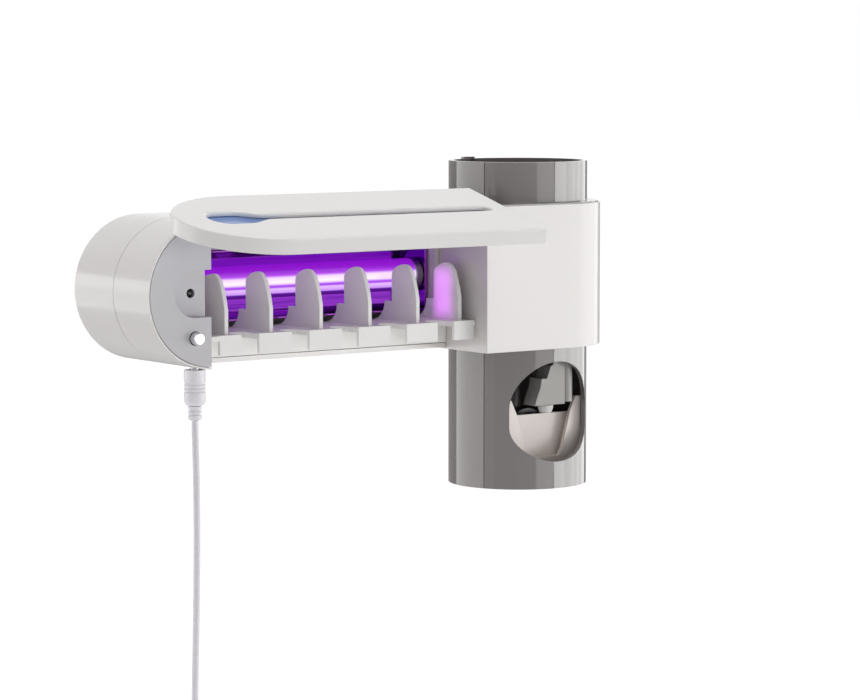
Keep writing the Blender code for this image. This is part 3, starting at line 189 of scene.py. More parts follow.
# %% The lead as one curve, made into a mesh
lead_curve = bpy.data.curves.new("power_lead", "CURVE")
lead_curve.dimensions = "3D"
lead_curve.bevel_depth = CORD_R
lead_curve.bevel_resolution = 5
lead_curve.use_fill_caps = True
lead_spline = lead_curve.splines.new("POLY")
lead_spline.points.add(len(whole_route) - 1)
for point, place in zip(lead_spline.points, whole_route):
    point.co = (*place, 1)
drawn_lead = bpy.data.objects.new("drawn_lead", lead_curve)
bpy.context.scene.collection.objects.link(drawn_lead)
evaluated = drawn_lead.evaluated_get(bpy.context.evaluated_depsgraph_get())
lead_mesh = bpy.data.meshes.new_from_object(evaluated)
bpy.data.objects.remove(drawn_lead, do_unlink=True)
lead_mesh.shade_smooth()
lead = bpy.data.objects.new("power_lead", lead_mesh)
bpy.context.scene.collection.objects.link(lead)
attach(lead, "housing")
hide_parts("cord_lead", "cord_hank", "cord_tail")
print("lead faces:", len(lead_mesh.polygons))

# %% [markdown]
# ## Effects that several finishes share
#
# Moulded plastic is never perfectly even: the colour drifts a little, the gloss wanders, and
# the mould leaves a fine grain. Each effect could be drawn anew in every material. Here it
# is a small node group with named sockets, built once and placed in each material with its
# own values. The noise reads the object's own coordinates, so no piece needs unwrapping.


# %% Node helpers
def feed(tree, node, inputs):
    """Set a node's inputs by name or number, from another node's socket or a plain value."""
    for key, value in inputs.items():
        if isinstance(value, bpy.types.NodeSocket):
            tree.links.new(value, node.inputs[key])
        else:
            node.inputs[key].default_value = value


def add_node(tree, kind, inputs=None, **settings):
    """A new node with its settings and its inputs."""
    node = tree.nodes.new(kind)
    for label, value in settings.items():
        setattr(node, label, value)
    feed(tree, node, inputs or {})
    return node


def new_group(name, inputs, outputs):
    """A shader node group with sockets from (name, type, default) rows, and its two ends."""
    group = bpy.data.node_groups.new(name, "ShaderNodeTree")
    for label, kind, default in inputs:
        socket = group.interface.new_socket(name=label, in_out="INPUT", socket_type=kind)
        socket.default_value = default
    for label, kind in outputs:
        group.interface.new_socket(name=label, in_out="OUTPUT", socket_type=kind)
    print("effect:", name)
    return group, group.nodes.new("NodeGroupInput").outputs, group.nodes.new("NodeGroupOutput")


def object_noise(tree, scale, detail):
    """Noise over the object's own coordinates."""
    place = add_node(tree, "ShaderNodeTexCoord")
    noise = add_node(tree, "ShaderNodeTexNoise",
                     {"Vector": place.outputs["Object"], "Scale": scale, "Detail": detail})
    return noise.outputs["Fac"]


# %% Colour that drifts
drift, drift_in, drift_out = new_group(
    "colour_drift",
    [("Colour", "NodeSocketColor", (0.8, 0.8, 0.8, 1)),
     ("Deep Colour", "NodeSocketColor", (0.7, 0.7, 0.7, 1)),
     ("Scale", "NodeSocketFloat", 30.0), ("Amount", "NodeSocketFloat", 0.3)],
    [("Colour", "NodeSocketColor")])
drift_share = add_node(drift, "ShaderNodeMath",
                       {0: object_noise(drift, drift_in["Scale"], 3.0), 1: drift_in["Amount"]},
                       operation="MULTIPLY")
drift_mix = add_node(drift, "ShaderNodeMix",
                     {"Factor": drift_share.outputs[0], "A": drift_in["Colour"],
                      "B": drift_in["Deep Colour"]}, data_type="RGBA")
feed(drift, drift_out, {"Colour": drift_mix.outputs["Result"]})

# %% Gloss that wanders
sheen, sheen_in, sheen_out = new_group(
    "gloss_wander",
    [("Roughness", "NodeSocketFloat", 0.3), ("Spread", "NodeSocketFloat", 0.1),
     ("Scale", "NodeSocketFloat", 60.0)],
    [("Roughness", "NodeSocketFloat")])
sheen_centred = add_node(sheen, "ShaderNodeMath",
                         {0: object_noise(sheen, sheen_in["Scale"], 5.0), 1: 0.5},
                         operation="SUBTRACT")
sheen_sum = add_node(sheen, "ShaderNodeMath",
                     {0: sheen_centred.outputs[0], 1: sheen_in["Spread"], 2: sheen_in["Roughness"]},
                     operation="MULTIPLY_ADD")
feed(sheen, sheen_out, {"Roughness": sheen_sum.outputs[0]})

# %% A fine grain from the mould
grain, grain_in, grain_out = new_group(
    "mould_grain",
    [("Grain Scale", "NodeSocketFloat", 2500.0), ("Ripple Scale", "NodeSocketFloat", 40.0),
     ("Ripple", "NodeSocketFloat", 0.5)],
    [("Height", "NodeSocketFloat")])
grain_fine = object_noise(grain, grain_in["Grain Scale"], 2.0)
grain_wide = object_noise(grain, grain_in["Ripple Scale"], 1.0)
grain_sum = add_node(grain, "ShaderNodeMath", {0: grain_wide, 1: grain_in["Ripple"], 2: grain_fine},
                     operation="MULTIPLY_ADD")
feed(grain, grain_out, {"Height": grain_sum.outputs[0]})

# %% [markdown]
# The reflector is a thin sheet that was rolled and bent. Rolling leaves fine streaks along
# its length, and they pull the lamp's mirror image out into bands. A stretched noise makes
# them: its X coordinate is shrunk, so each grain of it gets long.

# %% Streaks along a rolled sheet
rolled, rolled_in, rolled_out = new_group(
    "rolled_streaks", [("Scale", "NodeSocketFloat", 260.0), ("Stretch", "NodeSocketFloat", 0.04)],
    [("Height", "NodeSocketFloat")])
rolled_place = add_node(rolled, "ShaderNodeTexCoord")
rolled_axes = add_node(rolled, "ShaderNodeSeparateXYZ", {0: rolled_place.outputs["Object"]})
rolled_along = add_node(rolled, "ShaderNodeMath",
                        {0: rolled_axes.outputs["X"], 1: rolled_in["Stretch"]}, operation="MULTIPLY")
rolled_joined = add_node(rolled, "ShaderNodeCombineXYZ",
                         {"X": rolled_along.outputs[0], "Y": rolled_axes.outputs["Y"],
                          "Z": rolled_axes.outputs["Z"]})
rolled_noise = add_node(rolled, "ShaderNodeTexNoise",
                        {"Vector": rolled_joined.outputs[0], "Scale": rolled_in["Scale"]})
feed(rolled, rolled_out, {"Height": rolled_noise.outputs["Fac"]})

# %% [markdown]
# ## Finishes
#
# One function places the effects round a Principled shader, so that a finish is one line of
# values. What is the same all over a surface, such as its metallic share or its index of
# refraction, is set straight on the shader. The relief is the mould's grain, or the rolled
# streaks where a finish asks for them.

# %% A moulded finish
RELIEF_DEEP = 0.0004


def new_finish(name):
    """A new material, with its node tree and its Principled shader."""
    finish = bpy.data.materials.new(name)
    finish.use_nodes = True
    print("finish:", name)
    return finish, finish.node_tree, finish.node_tree.nodes["Principled BSDF"]


def moulded(name, colour, deep, roughness, spread=0.08, grain_scale=2500.0, ripple=0.6, bump=0.02,
            drift_scale=25.0, drift_amount=0.5, metallic=0.0, ior=1.47, coat=0.0, streaks=None):
    """A plastic, rubber or metal finish with drifting colour, wandering gloss and a relief."""
    finish, tree, shader = new_finish(name)
    tint = add_node(tree, "ShaderNodeGroup",
                    {"Colour": (*colour, 1), "Deep Colour": (*deep, 1), "Scale": drift_scale,
                     "Amount": drift_amount}, node_tree=drift)
    gloss = add_node(tree, "ShaderNodeGroup", {"Roughness": roughness, "Spread": spread}, node_tree=sheen)
    if streaks:
        relief = add_node(tree, "ShaderNodeGroup", streaks, node_tree=rolled)
    else:
        relief = add_node(tree, "ShaderNodeGroup", {"Grain Scale": grain_scale, "Ripple": ripple},
                          node_tree=grain)
    bumped = add_node(tree, "ShaderNodeBump",
                      {"Strength": bump, "Distance": RELIEF_DEEP, "Height": relief.outputs["Height"]})
    feed(tree, shader, {"Metallic": metallic, "IOR": ior, "Coat Weight": coat,
                        "Base Color": tint.outputs["Colour"], "Roughness": gloss.outputs["Roughness"],
                        "Normal": bumped.outputs["Normal"]})
    return finish


# %% [markdown]
# The case is glossy white plastic, and its flap is a shade brighter and smoother. The end
# panel is a satin grey, and the comb's tray a satin white. The dispenser's cylinder is
# polished taupe, and a coat over it gives the second, sharper shine. A picture could colour
# each of them, but even plastics need only two near colours and a roughness.

# %% The plastics
body_white = moulded("body_white", (0.735, 0.712, 0.700), (0.71, 0.688, 0.675), 0.17, ior=1.55)
cover_white = moulded("cover_white", (0.688, 0.663, 0.649), (0.665, 0.640, 0.626), 0.17, ior=1.55)
flap_white = moulded("flap_white", (0.85, 0.835, 0.828), (0.82, 0.805, 0.795), 0.12, bump=0.01)
panel_grey = moulded("panel_grey", (0.58, 0.57, 0.59), (0.54, 0.53, 0.55), 0.42, grain_scale=3500.0,
                     bump=0.06)
tray_white = moulded("tray_white", (0.88, 0.87, 0.85), (0.83, 0.82, 0.80), 0.36, bump=0.04)
taupe = moulded("taupe_polished", (0.210, 0.190, 0.186), (0.193, 0.175, 0.171), 0.09, spread=0.05,
                bump=0.008, ior=1.56, coat=0.5)
taupe_satin = moulded("taupe_satin", (0.36, 0.345, 0.33), (0.32, 0.305, 0.29), 0.34, bump=0.04)
# Dark taupe for the pump body, partly its own colour and partly painted shade that keeps the cavity behind
# the lever dark.
painted_shade_taupe = moulded("painted_shade_taupe", (0.085, 0.078, 0.076), (0.070, 0.064, 0.062), 0.36, bump=0.04)
cream = moulded("lever_cream", (0.86, 0.79, 0.75), (0.82, 0.75, 0.71), 0.30)
black = moulded("black_moulding", (0.020, 0.020, 0.021), (0.03, 0.03, 0.03), 0.42, bump=0.05)
plug_white = moulded("plug_white", (0.90, 0.88, 0.93), (0.85, 0.83, 0.88), 0.34, bump=0.03)

# %% [markdown]
# The lead's skin, the silicone and the foam are duller than the case, so their roughness is
# higher. Foam is all cells: they could be modelled, but at this size a coarse grain and a
# deep relief are enough. The board's green varies in small patches, as lacquer over copper.

# %% Soft pieces, the board and the small lens
lead_skin = moulded("lead_skin", (0.82, 0.80, 0.86), (0.76, 0.74, 0.80), 0.38, bump=0.04)
milky = moulded("milky_silicone", (0.74, 0.74, 0.72), (0.66, 0.66, 0.64), 0.45, ior=1.41)
foam = moulded("foam_tape", (0.66, 0.66, 0.68), (0.54, 0.54, 0.56), 0.9, grain_scale=900.0, bump=0.5)
board_green = moulded("board_green", (0.03, 0.19, 0.08), (0.02, 0.13, 0.05), 0.45, bump=0.05,
                      drift_scale=220.0, drift_amount=0.9)
led_lens = moulded("led_lens", (0.030, 0.030, 0.036), (0.022, 0.022, 0.028), 0.18)

# %% [markdown]
# A metal has no colour under its surface: its own colour tints what it mirrors. So the metallic share is 1,
# and the roughness makes the difference between bright plating and plain steel. The reflector's sheet looks
# violet in the lamp's light. The lamp alone would not tint it evenly, so its violet colour is painted light
# from the lamp.

# %% The metals
bright_metal = moulded("bright_metal", (0.86, 0.86, 0.87), (0.80, 0.80, 0.82), 0.07, spread=0.04,
                       bump=0.01, metallic=1.0)
plain_steel = moulded("plain_steel", (0.42, 0.42, 0.43), (0.35, 0.35, 0.36), 0.30, spread=0.15,
                      bump=0.04, metallic=1.0)
# Its violet is painted light from the lamp.
mirror_sheet = moulded("mirror_sheet", (0.44, 0.12, 0.60), (0.30, 0.05, 0.46), 0.12, spread=0.10,
                       bump=0.5, drift_scale=60.0, metallic=1.0,
                       streaks={"Scale": 260.0, "Stretch": 0.05})

# %% [markdown]
# The window is a clear blue strip behind the flap's slot. It looks blue at the left and pale towards the
# right. The pale part is painted light: the lamps alone could wash it out, but a colour that fades along X
# between two places is easier to set. Clear plastic is a Principled shader with some transmission.

# %% Clear blue strip
WINDOW_BLUE_TO, WINDOW_PALE_FROM = -0.080, -0.066
clear_blue, tree, shader = new_finish("clear_blue")
tint = add_node(tree, "ShaderNodeGroup",
                {"Colour": (0.26, 0.42, 0.80, 1), "Deep Colour": (0.19, 0.34, 0.70, 1), "Scale": 30.0,
                 "Amount": 0.8}, node_tree=drift)
gloss = add_node(tree, "ShaderNodeGroup", {"Roughness": 0.08, "Spread": 0.04}, node_tree=sheen)
place = add_node(tree, "ShaderNodeTexCoord")
axes = add_node(tree, "ShaderNodeSeparateXYZ", {0: place.outputs["Object"]})
along = add_node(tree, "ShaderNodeMapRange",
                 {"Value": axes.outputs["X"], "From Min": WINDOW_BLUE_TO, "From Max": WINDOW_PALE_FROM})
# The pale colour towards the right is painted light.
pale = add_node(tree, "ShaderNodeMix",
                {"Factor": along.outputs["Result"], "A": tint.outputs["Colour"],
                 "B": (0.74, 0.76, 0.80, 1)}, data_type="RGBA")
feed(tree, shader, {"IOR": 1.49, "Transmission Weight": 0.35, "Base Color": pale.outputs["Result"],
                    "Roughness": gloss.outputs["Roughness"]})
print("window: blue up to", WINDOW_BLUE_TO, "and pale from", WINDOW_PALE_FROM)

# %% [markdown]
# The lamp is a violet tube that glows. A real light inside the glass would need many samples.
# Emission on the glass itself looks much the same from outside and renders cleanly. A colour ramp over the
# tube's height paints two pale highlight bands between deep violet ones, and it is darker towards the
# bottom.

# %% Glowing lamp
LAMP_Z, LAMP_R = 0.0005, 0.0070
# From the tube's bottom to its top: darker at the bottom, and the two pale bands are painted highlights.
GLOW_AND_PAINTED_HIGHLIGHTS = [
    (0.00, (0.040, 0.003, 0.110)), (0.13, (0.100, 0.008, 0.270)), (0.17, (0.60, 0.30, 0.90)),
    (0.29, (0.80, 0.52, 0.95)), (0.34, (0.40, 0.07, 0.80)), (0.38, (0.38, 0.060, 0.80)),
    (0.45, (0.92, 0.70, 1.0)), (0.61, (0.94, 0.74, 1.0)), (0.69, (0.46, 0.07, 0.80)),
    (0.78, (0.29, 0.012, 0.61)), (1.00, (0.22, 0.005, 0.49))]
glow, tree, shader = new_finish("violet_glow")
place = add_node(tree, "ShaderNodeTexCoord")
axes = add_node(tree, "ShaderNodeSeparateXYZ", {0: place.outputs["Object"]})
across = add_node(tree, "ShaderNodeMapRange",
                  {"Value": axes.outputs["Z"], "From Min": LAMP_Z - LAMP_R, "From Max": LAMP_Z + LAMP_R})
bands = add_node(tree, "ShaderNodeValToRGB", {"Fac": across.outputs["Result"]})
while len(bands.color_ramp.elements) < len(GLOW_AND_PAINTED_HIGHLIGHTS):
    bands.color_ramp.elements.new(0.5)
for stop, (spot, colour) in zip(bands.color_ramp.elements, GLOW_AND_PAINTED_HIGHLIGHTS):
    stop.position = spot
    stop.color = (*colour, 1)
gloss = add_node(tree, "ShaderNodeGroup", {"Roughness": 0.12, "Spread": 0.05}, node_tree=sheen)
feed(tree, shader, {"Base Color": (0.05, 0.01, 0.14, 1), "Emission Strength": 1.0,
                    "Emission Color": bands.outputs["Color"], "Roughness": gloss.outputs["Roughness"]})
print("bands on the lamp:", len(GLOW_AND_PAINTED_HIGHLIGHTS))

# %% [markdown]
# ## Edges
#
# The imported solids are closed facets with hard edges. Their points must stay, so a short
# modifier stack smooths them: a node group welds the facets and drops the flat normals, a
# planar Decimate clears the flat faces, a Bevel rounds each sharp edge by a fraction of a
# millimetre, and weighted normals keep the flats flat.

# %% Helpers for modifier groups
CREASE = math.radians(32)
WELD_REACH = 0.000003


def new_modifier_group(name):
    """A geometry node group that takes a mesh and gives one, with its two end sockets."""
    group = bpy.data.node_groups.new(name, "GeometryNodeTree")
    group.is_modifier = True
    for way in ("INPUT", "OUTPUT"):
        group.interface.new_socket(name="Geometry", in_out=way, socket_type="NodeSocketGeometry")
    print("modifier group:", name)
    return group, group.nodes.new("NodeGroupInput").outputs[0], group.nodes.new("NodeGroupOutput").inputs[0]


def sharp_edges(group):
    """True on each edge whose faces meet at more than the crease angle."""
    angle = add_node(group, "GeometryNodeInputMeshEdgeAngle")
    return add_node(group, "FunctionNodeCompare", {0: angle.outputs["Unsigned Angle"], 1: CREASE},
                    operation="GREATER_THAN").outputs[0]


# %% The weld as a geometry node group
weld, weld_from, weld_to = new_modifier_group("weld_facets")
loose = add_node(weld, "GeometryNodeRemoveAttribute", {0: weld_from, "Name": "custom_normal"})
merged = add_node(weld, "GeometryNodeMergeByDistance", {0: loose.outputs[0], "Distance": WELD_REACH})
smooth = add_node(weld, "GeometryNodeSetShadeSmooth", {"Geometry": merged.outputs[0]}, domain="FACE")
creased = add_node(weld, "GeometryNodeSetShadeSmooth",
                   {"Geometry": smooth.outputs[0], "Selection": sharp_edges(weld), "Shade Smooth": False},
                   domain="EDGE")
weld.links.new(creased.outputs[0], weld_to)

# %% [markdown]
# The flap's slot is rounded more than the other edges: its soft lip catches a band of light.
# A Bevel modifier has one width, and edge weights scale it. The weights could be painted by
# hand, but a node group finds the edges by their place: an edge whose middle lies on the
# flap's outer face gets the full width, and every other sharp edge a small share of it.

# %% A wider rounding along the flap's key-shaped slot
FLAP_TILT, FLAP_OUTER, FLAP_HINGE = math.radians(-74.6), -0.01342, (0, -0.05568, 0.02565)
SLOT_ROUND, EDGE_ROUND, PANEL_ROUND, PIN_ROUND = 0.0011, 0.0002, 0.00035, 0.0005
FACE_REACH = 0.0001
shares, shares_from, shares_to = new_modifier_group("slot_edge_shares")
flap_normal = Vector((0, math.cos(FLAP_TILT), math.sin(FLAP_TILT)))
edge_place = add_node(shares, "GeometryNodeInputPosition")
depth = add_node(shares, "ShaderNodeVectorMath", {0: edge_place.outputs[0], 1: flap_normal},
                 operation="DOT_PRODUCT")
on_face = add_node(shares, "FunctionNodeCompare",
                   {"A": depth.outputs["Value"], "B": FLAP_OUTER + flap_normal.dot(Vector(FLAP_HINGE)),
                    "Epsilon": FACE_REACH}, operation="EQUAL")
share = add_node(shares, "GeometryNodeSwitch",
                 {"Switch": on_face.outputs[0], "False": EDGE_ROUND / SLOT_ROUND, "True": 1.0},
                 input_type="FLOAT")
stored = add_node(shares, "GeometryNodeStoreNamedAttribute",
                  {"Geometry": shares_from, "Selection": sharp_edges(shares), "Name": "bevel_weight_edge",
                   "Value": share.outputs[0]}, data_type="FLOAT", domain="EDGE")
shares.links.new(stored.outputs[0], shares_to)

# %% Round a piece's edges
FLAT = math.radians(0.6)


def soften(piece, width, segments=2, edge_shares=None):
    """Weld, clear the flats, round the sharp edges and weight the normals."""
    piece.modifiers.new("Weld", "NODES").node_group = weld
    flats = piece.modifiers.new("Flats", "DECIMATE")
    flats.decimate_type = "DISSOLVE"
    flats.angle_limit = FLAT
    if edge_shares:
        piece.modifiers.new("Shares", "NODES").node_group = edge_shares
    bevel = piece.modifiers.new("Round", "BEVEL")
    bevel.limit_method = "WEIGHT" if edge_shares else "ANGLE"
    bevel.use_clamp_overlap = not edge_shares
    bevel.angle_limit = CREASE
    bevel.width = width
    bevel.segments = segments
    weighted = piece.modifiers.new("Normals", "WEIGHTED_NORMAL")
    weighted.keep_sharp = True
    weighted.weight = 80


# %% [markdown]
# Each solid names a material slot in the model's record. A table turns the slot into a
# finish, and a second table holds the few pieces that differ from their slot's finish.

# %% Finishes and edges on the solids
finish_of = {
    "white_gloss": body_white, "flap_gloss": flap_white, "satin_grey": panel_grey, "tray_satin": tray_white,
    "taupe_gloss": taupe, "taupe_satin": taupe_satin, "cream": cream, "black": black,
    "chrome": bright_metal, "steel": plain_steel, "silicone": milky, "cord": lead_skin, "foam": foam,
    "clear_blue": clear_blue, "lamp_glass": glow, "board": board_green, "led": led_lens}
# Two of these finishes hold painted light: the reflector's violet and the pump body's dark shade.
finish_of_node = {
    "reflector": mirror_sheet, "lamp_bulkhead_left": mirror_sheet, "lamp_bulkhead_right": mirror_sheet,
    "pump_body": painted_shade_taupe, "dc_plug": plug_white, "plug_collar": plug_white, "usb_plug": plug_white,
    "plug_pin": plain_steel, "dispenser_cover": cover_white}
edge_of_node = {
    "lid": {"width": SLOT_ROUND, "segments": 4, "edge_shares": shares},
    "lid_switch_plunger": {"width": PIN_ROUND, "segments": 3},
    "end_panel": {"width": PANEL_ROUND}, "dispenser_front": {"width": PANEL_ROUND}}
slot_of = {row["node"]: row["material_slot"] for row in frame["record"]["subparts"]}
for name, node in nodes.items():
    node.data.materials.clear()
    node.data.materials.append(finish_of_node.get(name, finish_of[slot_of[name]]))
    soften(node, **edge_of_node.get(name, {"width": EDGE_ROUND}))
print("solids with a finish:", len(nodes))

# %% [markdown]
# ## The two return springs
#
# A coil spring stands behind the chrome plunger and another behind the pump's plunger. Each rests on the
# housing at its back end, and on the real thing it gets shorter by its plunger's travel. A shape key could
# do that by hand. Here each spring only gets a mesh of its own, and the share of its length that it would
# keep is printed.

# %% Springs, each with a mesh of its own
SPRINGS = (("plunger_spring", "plunger_slide", -0.0503, 0.00809, 0.0026),
           ("pump_spring", "pump_slide", -0.0163, 0.01639, 0.0033))
for name, joint, back_y, long, travel in SPRINGS:
    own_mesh(nodes[name])
    print(name, "keeps", round((long - travel) / long, 3), "of its length")

# %% [markdown]
# ## The hank's tie
#
# A narrow hook-and-loop strap holds the hank at its waist. It could be a bent plane with a
# Solidify modifier. Here it is a ribbon: one flat, round-edged section carried along a
# stadium-shaped route. The route goes once round and then lies on its own start, so the
# strap really overlaps itself and ends in a round tip.

# %% Helpers for modelled pieces
PIECE_CREASE = math.radians(40)


def new_piece(name, shape, finish, slot, *stands_for):
    """An object from a bmesh, with its finish, that rides on the housing."""
    bmesh.ops.recalc_face_normals(shape, faces=shape.faces)
    mesh = bpy.data.meshes.new(name)
    shape.to_mesh(mesh)
    shape.free()
    mesh.shade_smooth()
    mesh.set_sharp_from_angle(angle=PIECE_CREASE)
    mesh.materials.append(finish)
    piece = bpy.data.objects.new(name, mesh)
    bpy.context.scene.collection.objects.link(piece)
    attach(piece, "housing")
    if stands_for:
        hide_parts(*stands_for)
    print(name, "faces:", len(mesh.polygons))
    return piece


def join_rings(shape, rings):
    """Quads between rings of equal count, and a face over each end."""
    for first, second in zip(rings, rings[1:]):
        for k in range(len(first)):
            after = (k + 1) % len(first)
            shape.faces.new((first[k], first[after], second[after], second[k]))
    shape.faces.new(rings[0])
    shape.faces.new(list(reversed(rings[-1])))


# %% The strap's route
STRAP_T, STRAP_W = 0.0008, 0.0050
ROOM_AT_ENDS, ROOM_AT_FACES = 0.0019, 0.0005
strap_half_x = HANK_W - HANK_WAIST + CORD_R + ROOM_AT_ENDS
strap_half_y = (HANK_LAYER + 2 * CORD_R) / 2 + ROOM_AT_FACES
strap_straight = strap_half_x - strap_half_y
strap_arc = math.pi * strap_half_y
strap_round = 4 * strap_straight + 2 * strap_arc
strap_middle_y = PLUG_Y + HANK_LAYER / 2


def strap_place(run):
    """A place and its outward direction on the stadium, starting at the middle of the front."""
    run = run % strap_round
    front, back = Vector((0, -1, 0)), Vector((0, 1, 0))
    if run < strap_straight:
        return Vector((HANK_X + run, strap_middle_y - strap_half_y, 0)), front
    run -= strap_straight
    if run < strap_arc:
        turn = run / strap_half_y
        out = Vector((math.sin(turn), -math.cos(turn), 0))
        return Vector((HANK_X + strap_straight, strap_middle_y, 0)) + out * strap_half_y, out
    run -= strap_arc
    if run < 2 * strap_straight:
        return Vector((HANK_X + strap_straight - run, strap_middle_y + strap_half_y, 0)), back
    run -= 2 * strap_straight
    if run < strap_arc:
        turn = run / strap_half_y
        out = Vector((-math.sin(turn), math.cos(turn), 0))
        return Vector((HANK_X - strap_straight, strap_middle_y, 0)) + out * strap_half_y, out
    run -= strap_arc
    return Vector((HANK_X - strap_straight + run, strap_middle_y - strap_half_y, 0)), front


print("once round the hank in mm:", round(1000 * strap_round, 1))

# %% The strap
STRAP_OVERLAP, STRAP_STATIONS = 0.0105, 150
TIP_LONG, TIP_LEAST = 0.0025, 0.03
RISE_FROM, RISE_LONG, RISE_GAP = 0.005, 0.004, 0.0001
STRAP_SECTION = ((-1, 0.25), (-0.94, 0), (0.94, 0), (1, 0.25),
                 (1, 0.75), (0.94, 1), (-0.94, 1), (-1, 0.75))
strap = bmesh.new()
rings = []
strap_run = strap_round + STRAP_OVERLAP
for k in range(STRAP_STATIONS + 1):
    run = strap_run * k / STRAP_STATIONS
    spot, out = strap_place(run)
    rise = min(max((run - (strap_round - RISE_FROM)) / RISE_LONG, 0.0), 1.0)
    lift = (STRAP_T + RISE_GAP) * rise * rise * (3 - 2 * rise)
    left = strap_run - run
    tip = math.sqrt(max(1 - max(1 - left / TIP_LONG, 0) ** 2, TIP_LEAST))
    half = STRAP_W / 2 * tip
    ring = []
    for wide, deep in STRAP_SECTION:
        ring.append(strap.verts.new(spot + out * (lift + STRAP_T * deep)
                                    + Vector((0, 0, HANK_Z + half * wide))))
    rings.append(ring)
join_rings(strap, rings)
strap_cloth = moulded("strap_cloth", (0.022, 0.022, 0.024), (0.055, 0.055, 0.06), 0.85, grain_scale=1400.0,
                      ripple=0.2, bump=0.9, drift_scale=900.0, drift_amount=0.8)
tie = new_piece("hook_and_loop_tie", strap, strap_cloth, "black", "hank_tie")
print("strap in mm:", round(1000 * strap_run, 1))

# %% [markdown]
# ## The foam pad
#
# A thin double-sided foam pad holds the wall plate. A plain box would show a hard rim. The
# foam is softer than its two skins and bulges a little between them, so the rim is five
# rings and not a straight wall. A ring is four quarter rounds, a little smaller than the
# plate.

# %% Foam pad
PLATE_X, PLATE_HALF_W, PLATE_HALF_H, PLATE_CORNER = -0.0250, 0.0440, 0.0140, 0.0060
PAD_WIDE, PAD_HIGH, PAD_SHIFT = 0.96, 0.92, 0.0010
PAD_RIM = ((0.0, 0.9972), (0.00010, 0.9990), (0.00035, 1.0), (0.00060, 0.9990), (0.0007, 0.9972))
corners = []
for side, end, start in ((1, 1, 0), (-1, 1, 90), (-1, -1, 180), (1, -1, 270)):
    for k in range(9):
        turn = math.radians(start + 90 * k / 8)
        x = PLATE_X + side * PLATE_HALF_W + PLATE_CORNER * math.cos(turn)
        z = end * PLATE_HALF_H + PLATE_CORNER * math.sin(turn)
        corners.append((x * PAD_WIDE - PAD_SHIFT, z * PAD_HIGH))
pad = bmesh.new()
join_rings(pad, [[pad.verts.new((PLATE_X + (x - PLATE_X) * bulge, -deep, z * bulge)) for x, z in corners]
                 for deep, bulge in PAD_RIM])
foam_pad = new_piece("foam_tape_pad", pad, foam, "foam", "adhesive_pad")

# %% [markdown]
# ## Inside the USB shell
#
# A white tongue with four gilded contacts stands inside the steel shell. Cubes with a Bevel
# would do, but these blocks are so small that a chamfered outline, drawn out along Z, is
# simpler. The contacts lie just proud of the tongue.

# %% Tongue and contacts
USB_PLUG_LONG, MIDDLE_RING_UP = 0.0280, 0.0003
TONGUE_HALF_W, TONGUE_CUT = 0.0052, 0.0002
TONGUE_Y, TONGUE_Z = (0.0001, 0.00175), (-0.0112, -0.0019)
CONTACT_HALF_W, CONTACT_CUT = 0.0005, 0.0001
CONTACT_XS, CONTACT_Y = (-0.0035, -0.0012, 0.0012, 0.0035), (-0.00005, 0.00020)
CONTACT_TOP, INNER_CONTACT_END, OUTER_CONTACT_END = -0.0025, -0.0104, -0.0109
usb_end = tail_end - GAP - USB_PLUG_LONG - GAP


def chamfered_block(shape, low, high, cut):
    """A block with its edges along Z chamfered."""
    (x0, y0, z0), (x1, y1, z1) = low, high
    outline = [(x0 + cut, y0), (x1 - cut, y0), (x1, y0 + cut), (x1, y1 - cut), (x1 - cut, y1),
               (x0 + cut, y1), (x0, y1 - cut), (x0, y0 + cut)]
    heights = (z0, z0 + MIDDLE_RING_UP, z1)
    join_rings(shape, [[shape.verts.new((x, y, z)) for x, y in outline] for z in heights])


tongue = bmesh.new()
chamfered_block(tongue, (lead_x - TONGUE_HALF_W, tail_y + TONGUE_Y[0], usb_end + TONGUE_Z[0]),
                (lead_x + TONGUE_HALF_W, tail_y + TONGUE_Y[1], usb_end + TONGUE_Z[1]), TONGUE_CUT)
usb_tongue = new_piece("usb_tongue", tongue, body_white, "white_gloss")
contacts = bmesh.new()
for k, across_x in enumerate(CONTACT_XS):
    x = lead_x + across_x
    end = INNER_CONTACT_END if k in (1, 2) else OUTER_CONTACT_END
    chamfered_block(contacts, (x - CONTACT_HALF_W, tail_y + CONTACT_Y[0], usb_end + end),
                    (x + CONTACT_HALF_W, tail_y + CONTACT_Y[1], usb_end + CONTACT_TOP), CONTACT_CUT)
gilt = moulded("gilt_strip", (0.90, 0.68, 0.30), (0.80, 0.58, 0.24), 0.22, metallic=1.0)
usb_contacts = new_piece("usb_contacts", contacts, gilt, "steel")

# %% [markdown]
# The lead gets its skin's finish.

lead_mesh.materials.append(lead_skin)

# %% [markdown]
# ## The world
#
# The world is an even pale light, at which a colour renders about as it is written. A white
# world at full strength would wash the white plastic out. So the object is lit by a weak
# one, while the camera, mirrors and glass see pure white. Light Path tells the two apart.

# %% World
EVEN_STRENGTH = 0.28
world = bpy.data.worlds.new("pale_room")
bpy.context.scene.world = world
world.use_nodes = True
tree = world.node_tree
even = tree.nodes["Background"]
feed(tree, even, {"Color": (1.0, 0.99, 0.985, 1), "Strength": EVEN_STRENGTH})
pure = add_node(tree, "ShaderNodeBackground", {"Color": (1, 1, 1, 1), "Strength": 1.0})
path = add_node(tree, "ShaderNodeLightPath")
camera_or_mirror = add_node(tree, "ShaderNodeMath",
                            {0: path.outputs["Is Camera Ray"], 1: path.outputs["Is Glossy Ray"]},
                            operation="MAXIMUM")
any_of_them = add_node(tree, "ShaderNodeMath",
                       {0: camera_or_mirror.outputs[0], 1: path.outputs["Is Transmission Ray"]},
                       operation="MAXIMUM")
mix = add_node(tree, "ShaderNodeMixShader",
               {"Fac": any_of_them.outputs[0], 1: even.outputs[0], 2: pure.outputs[0]})
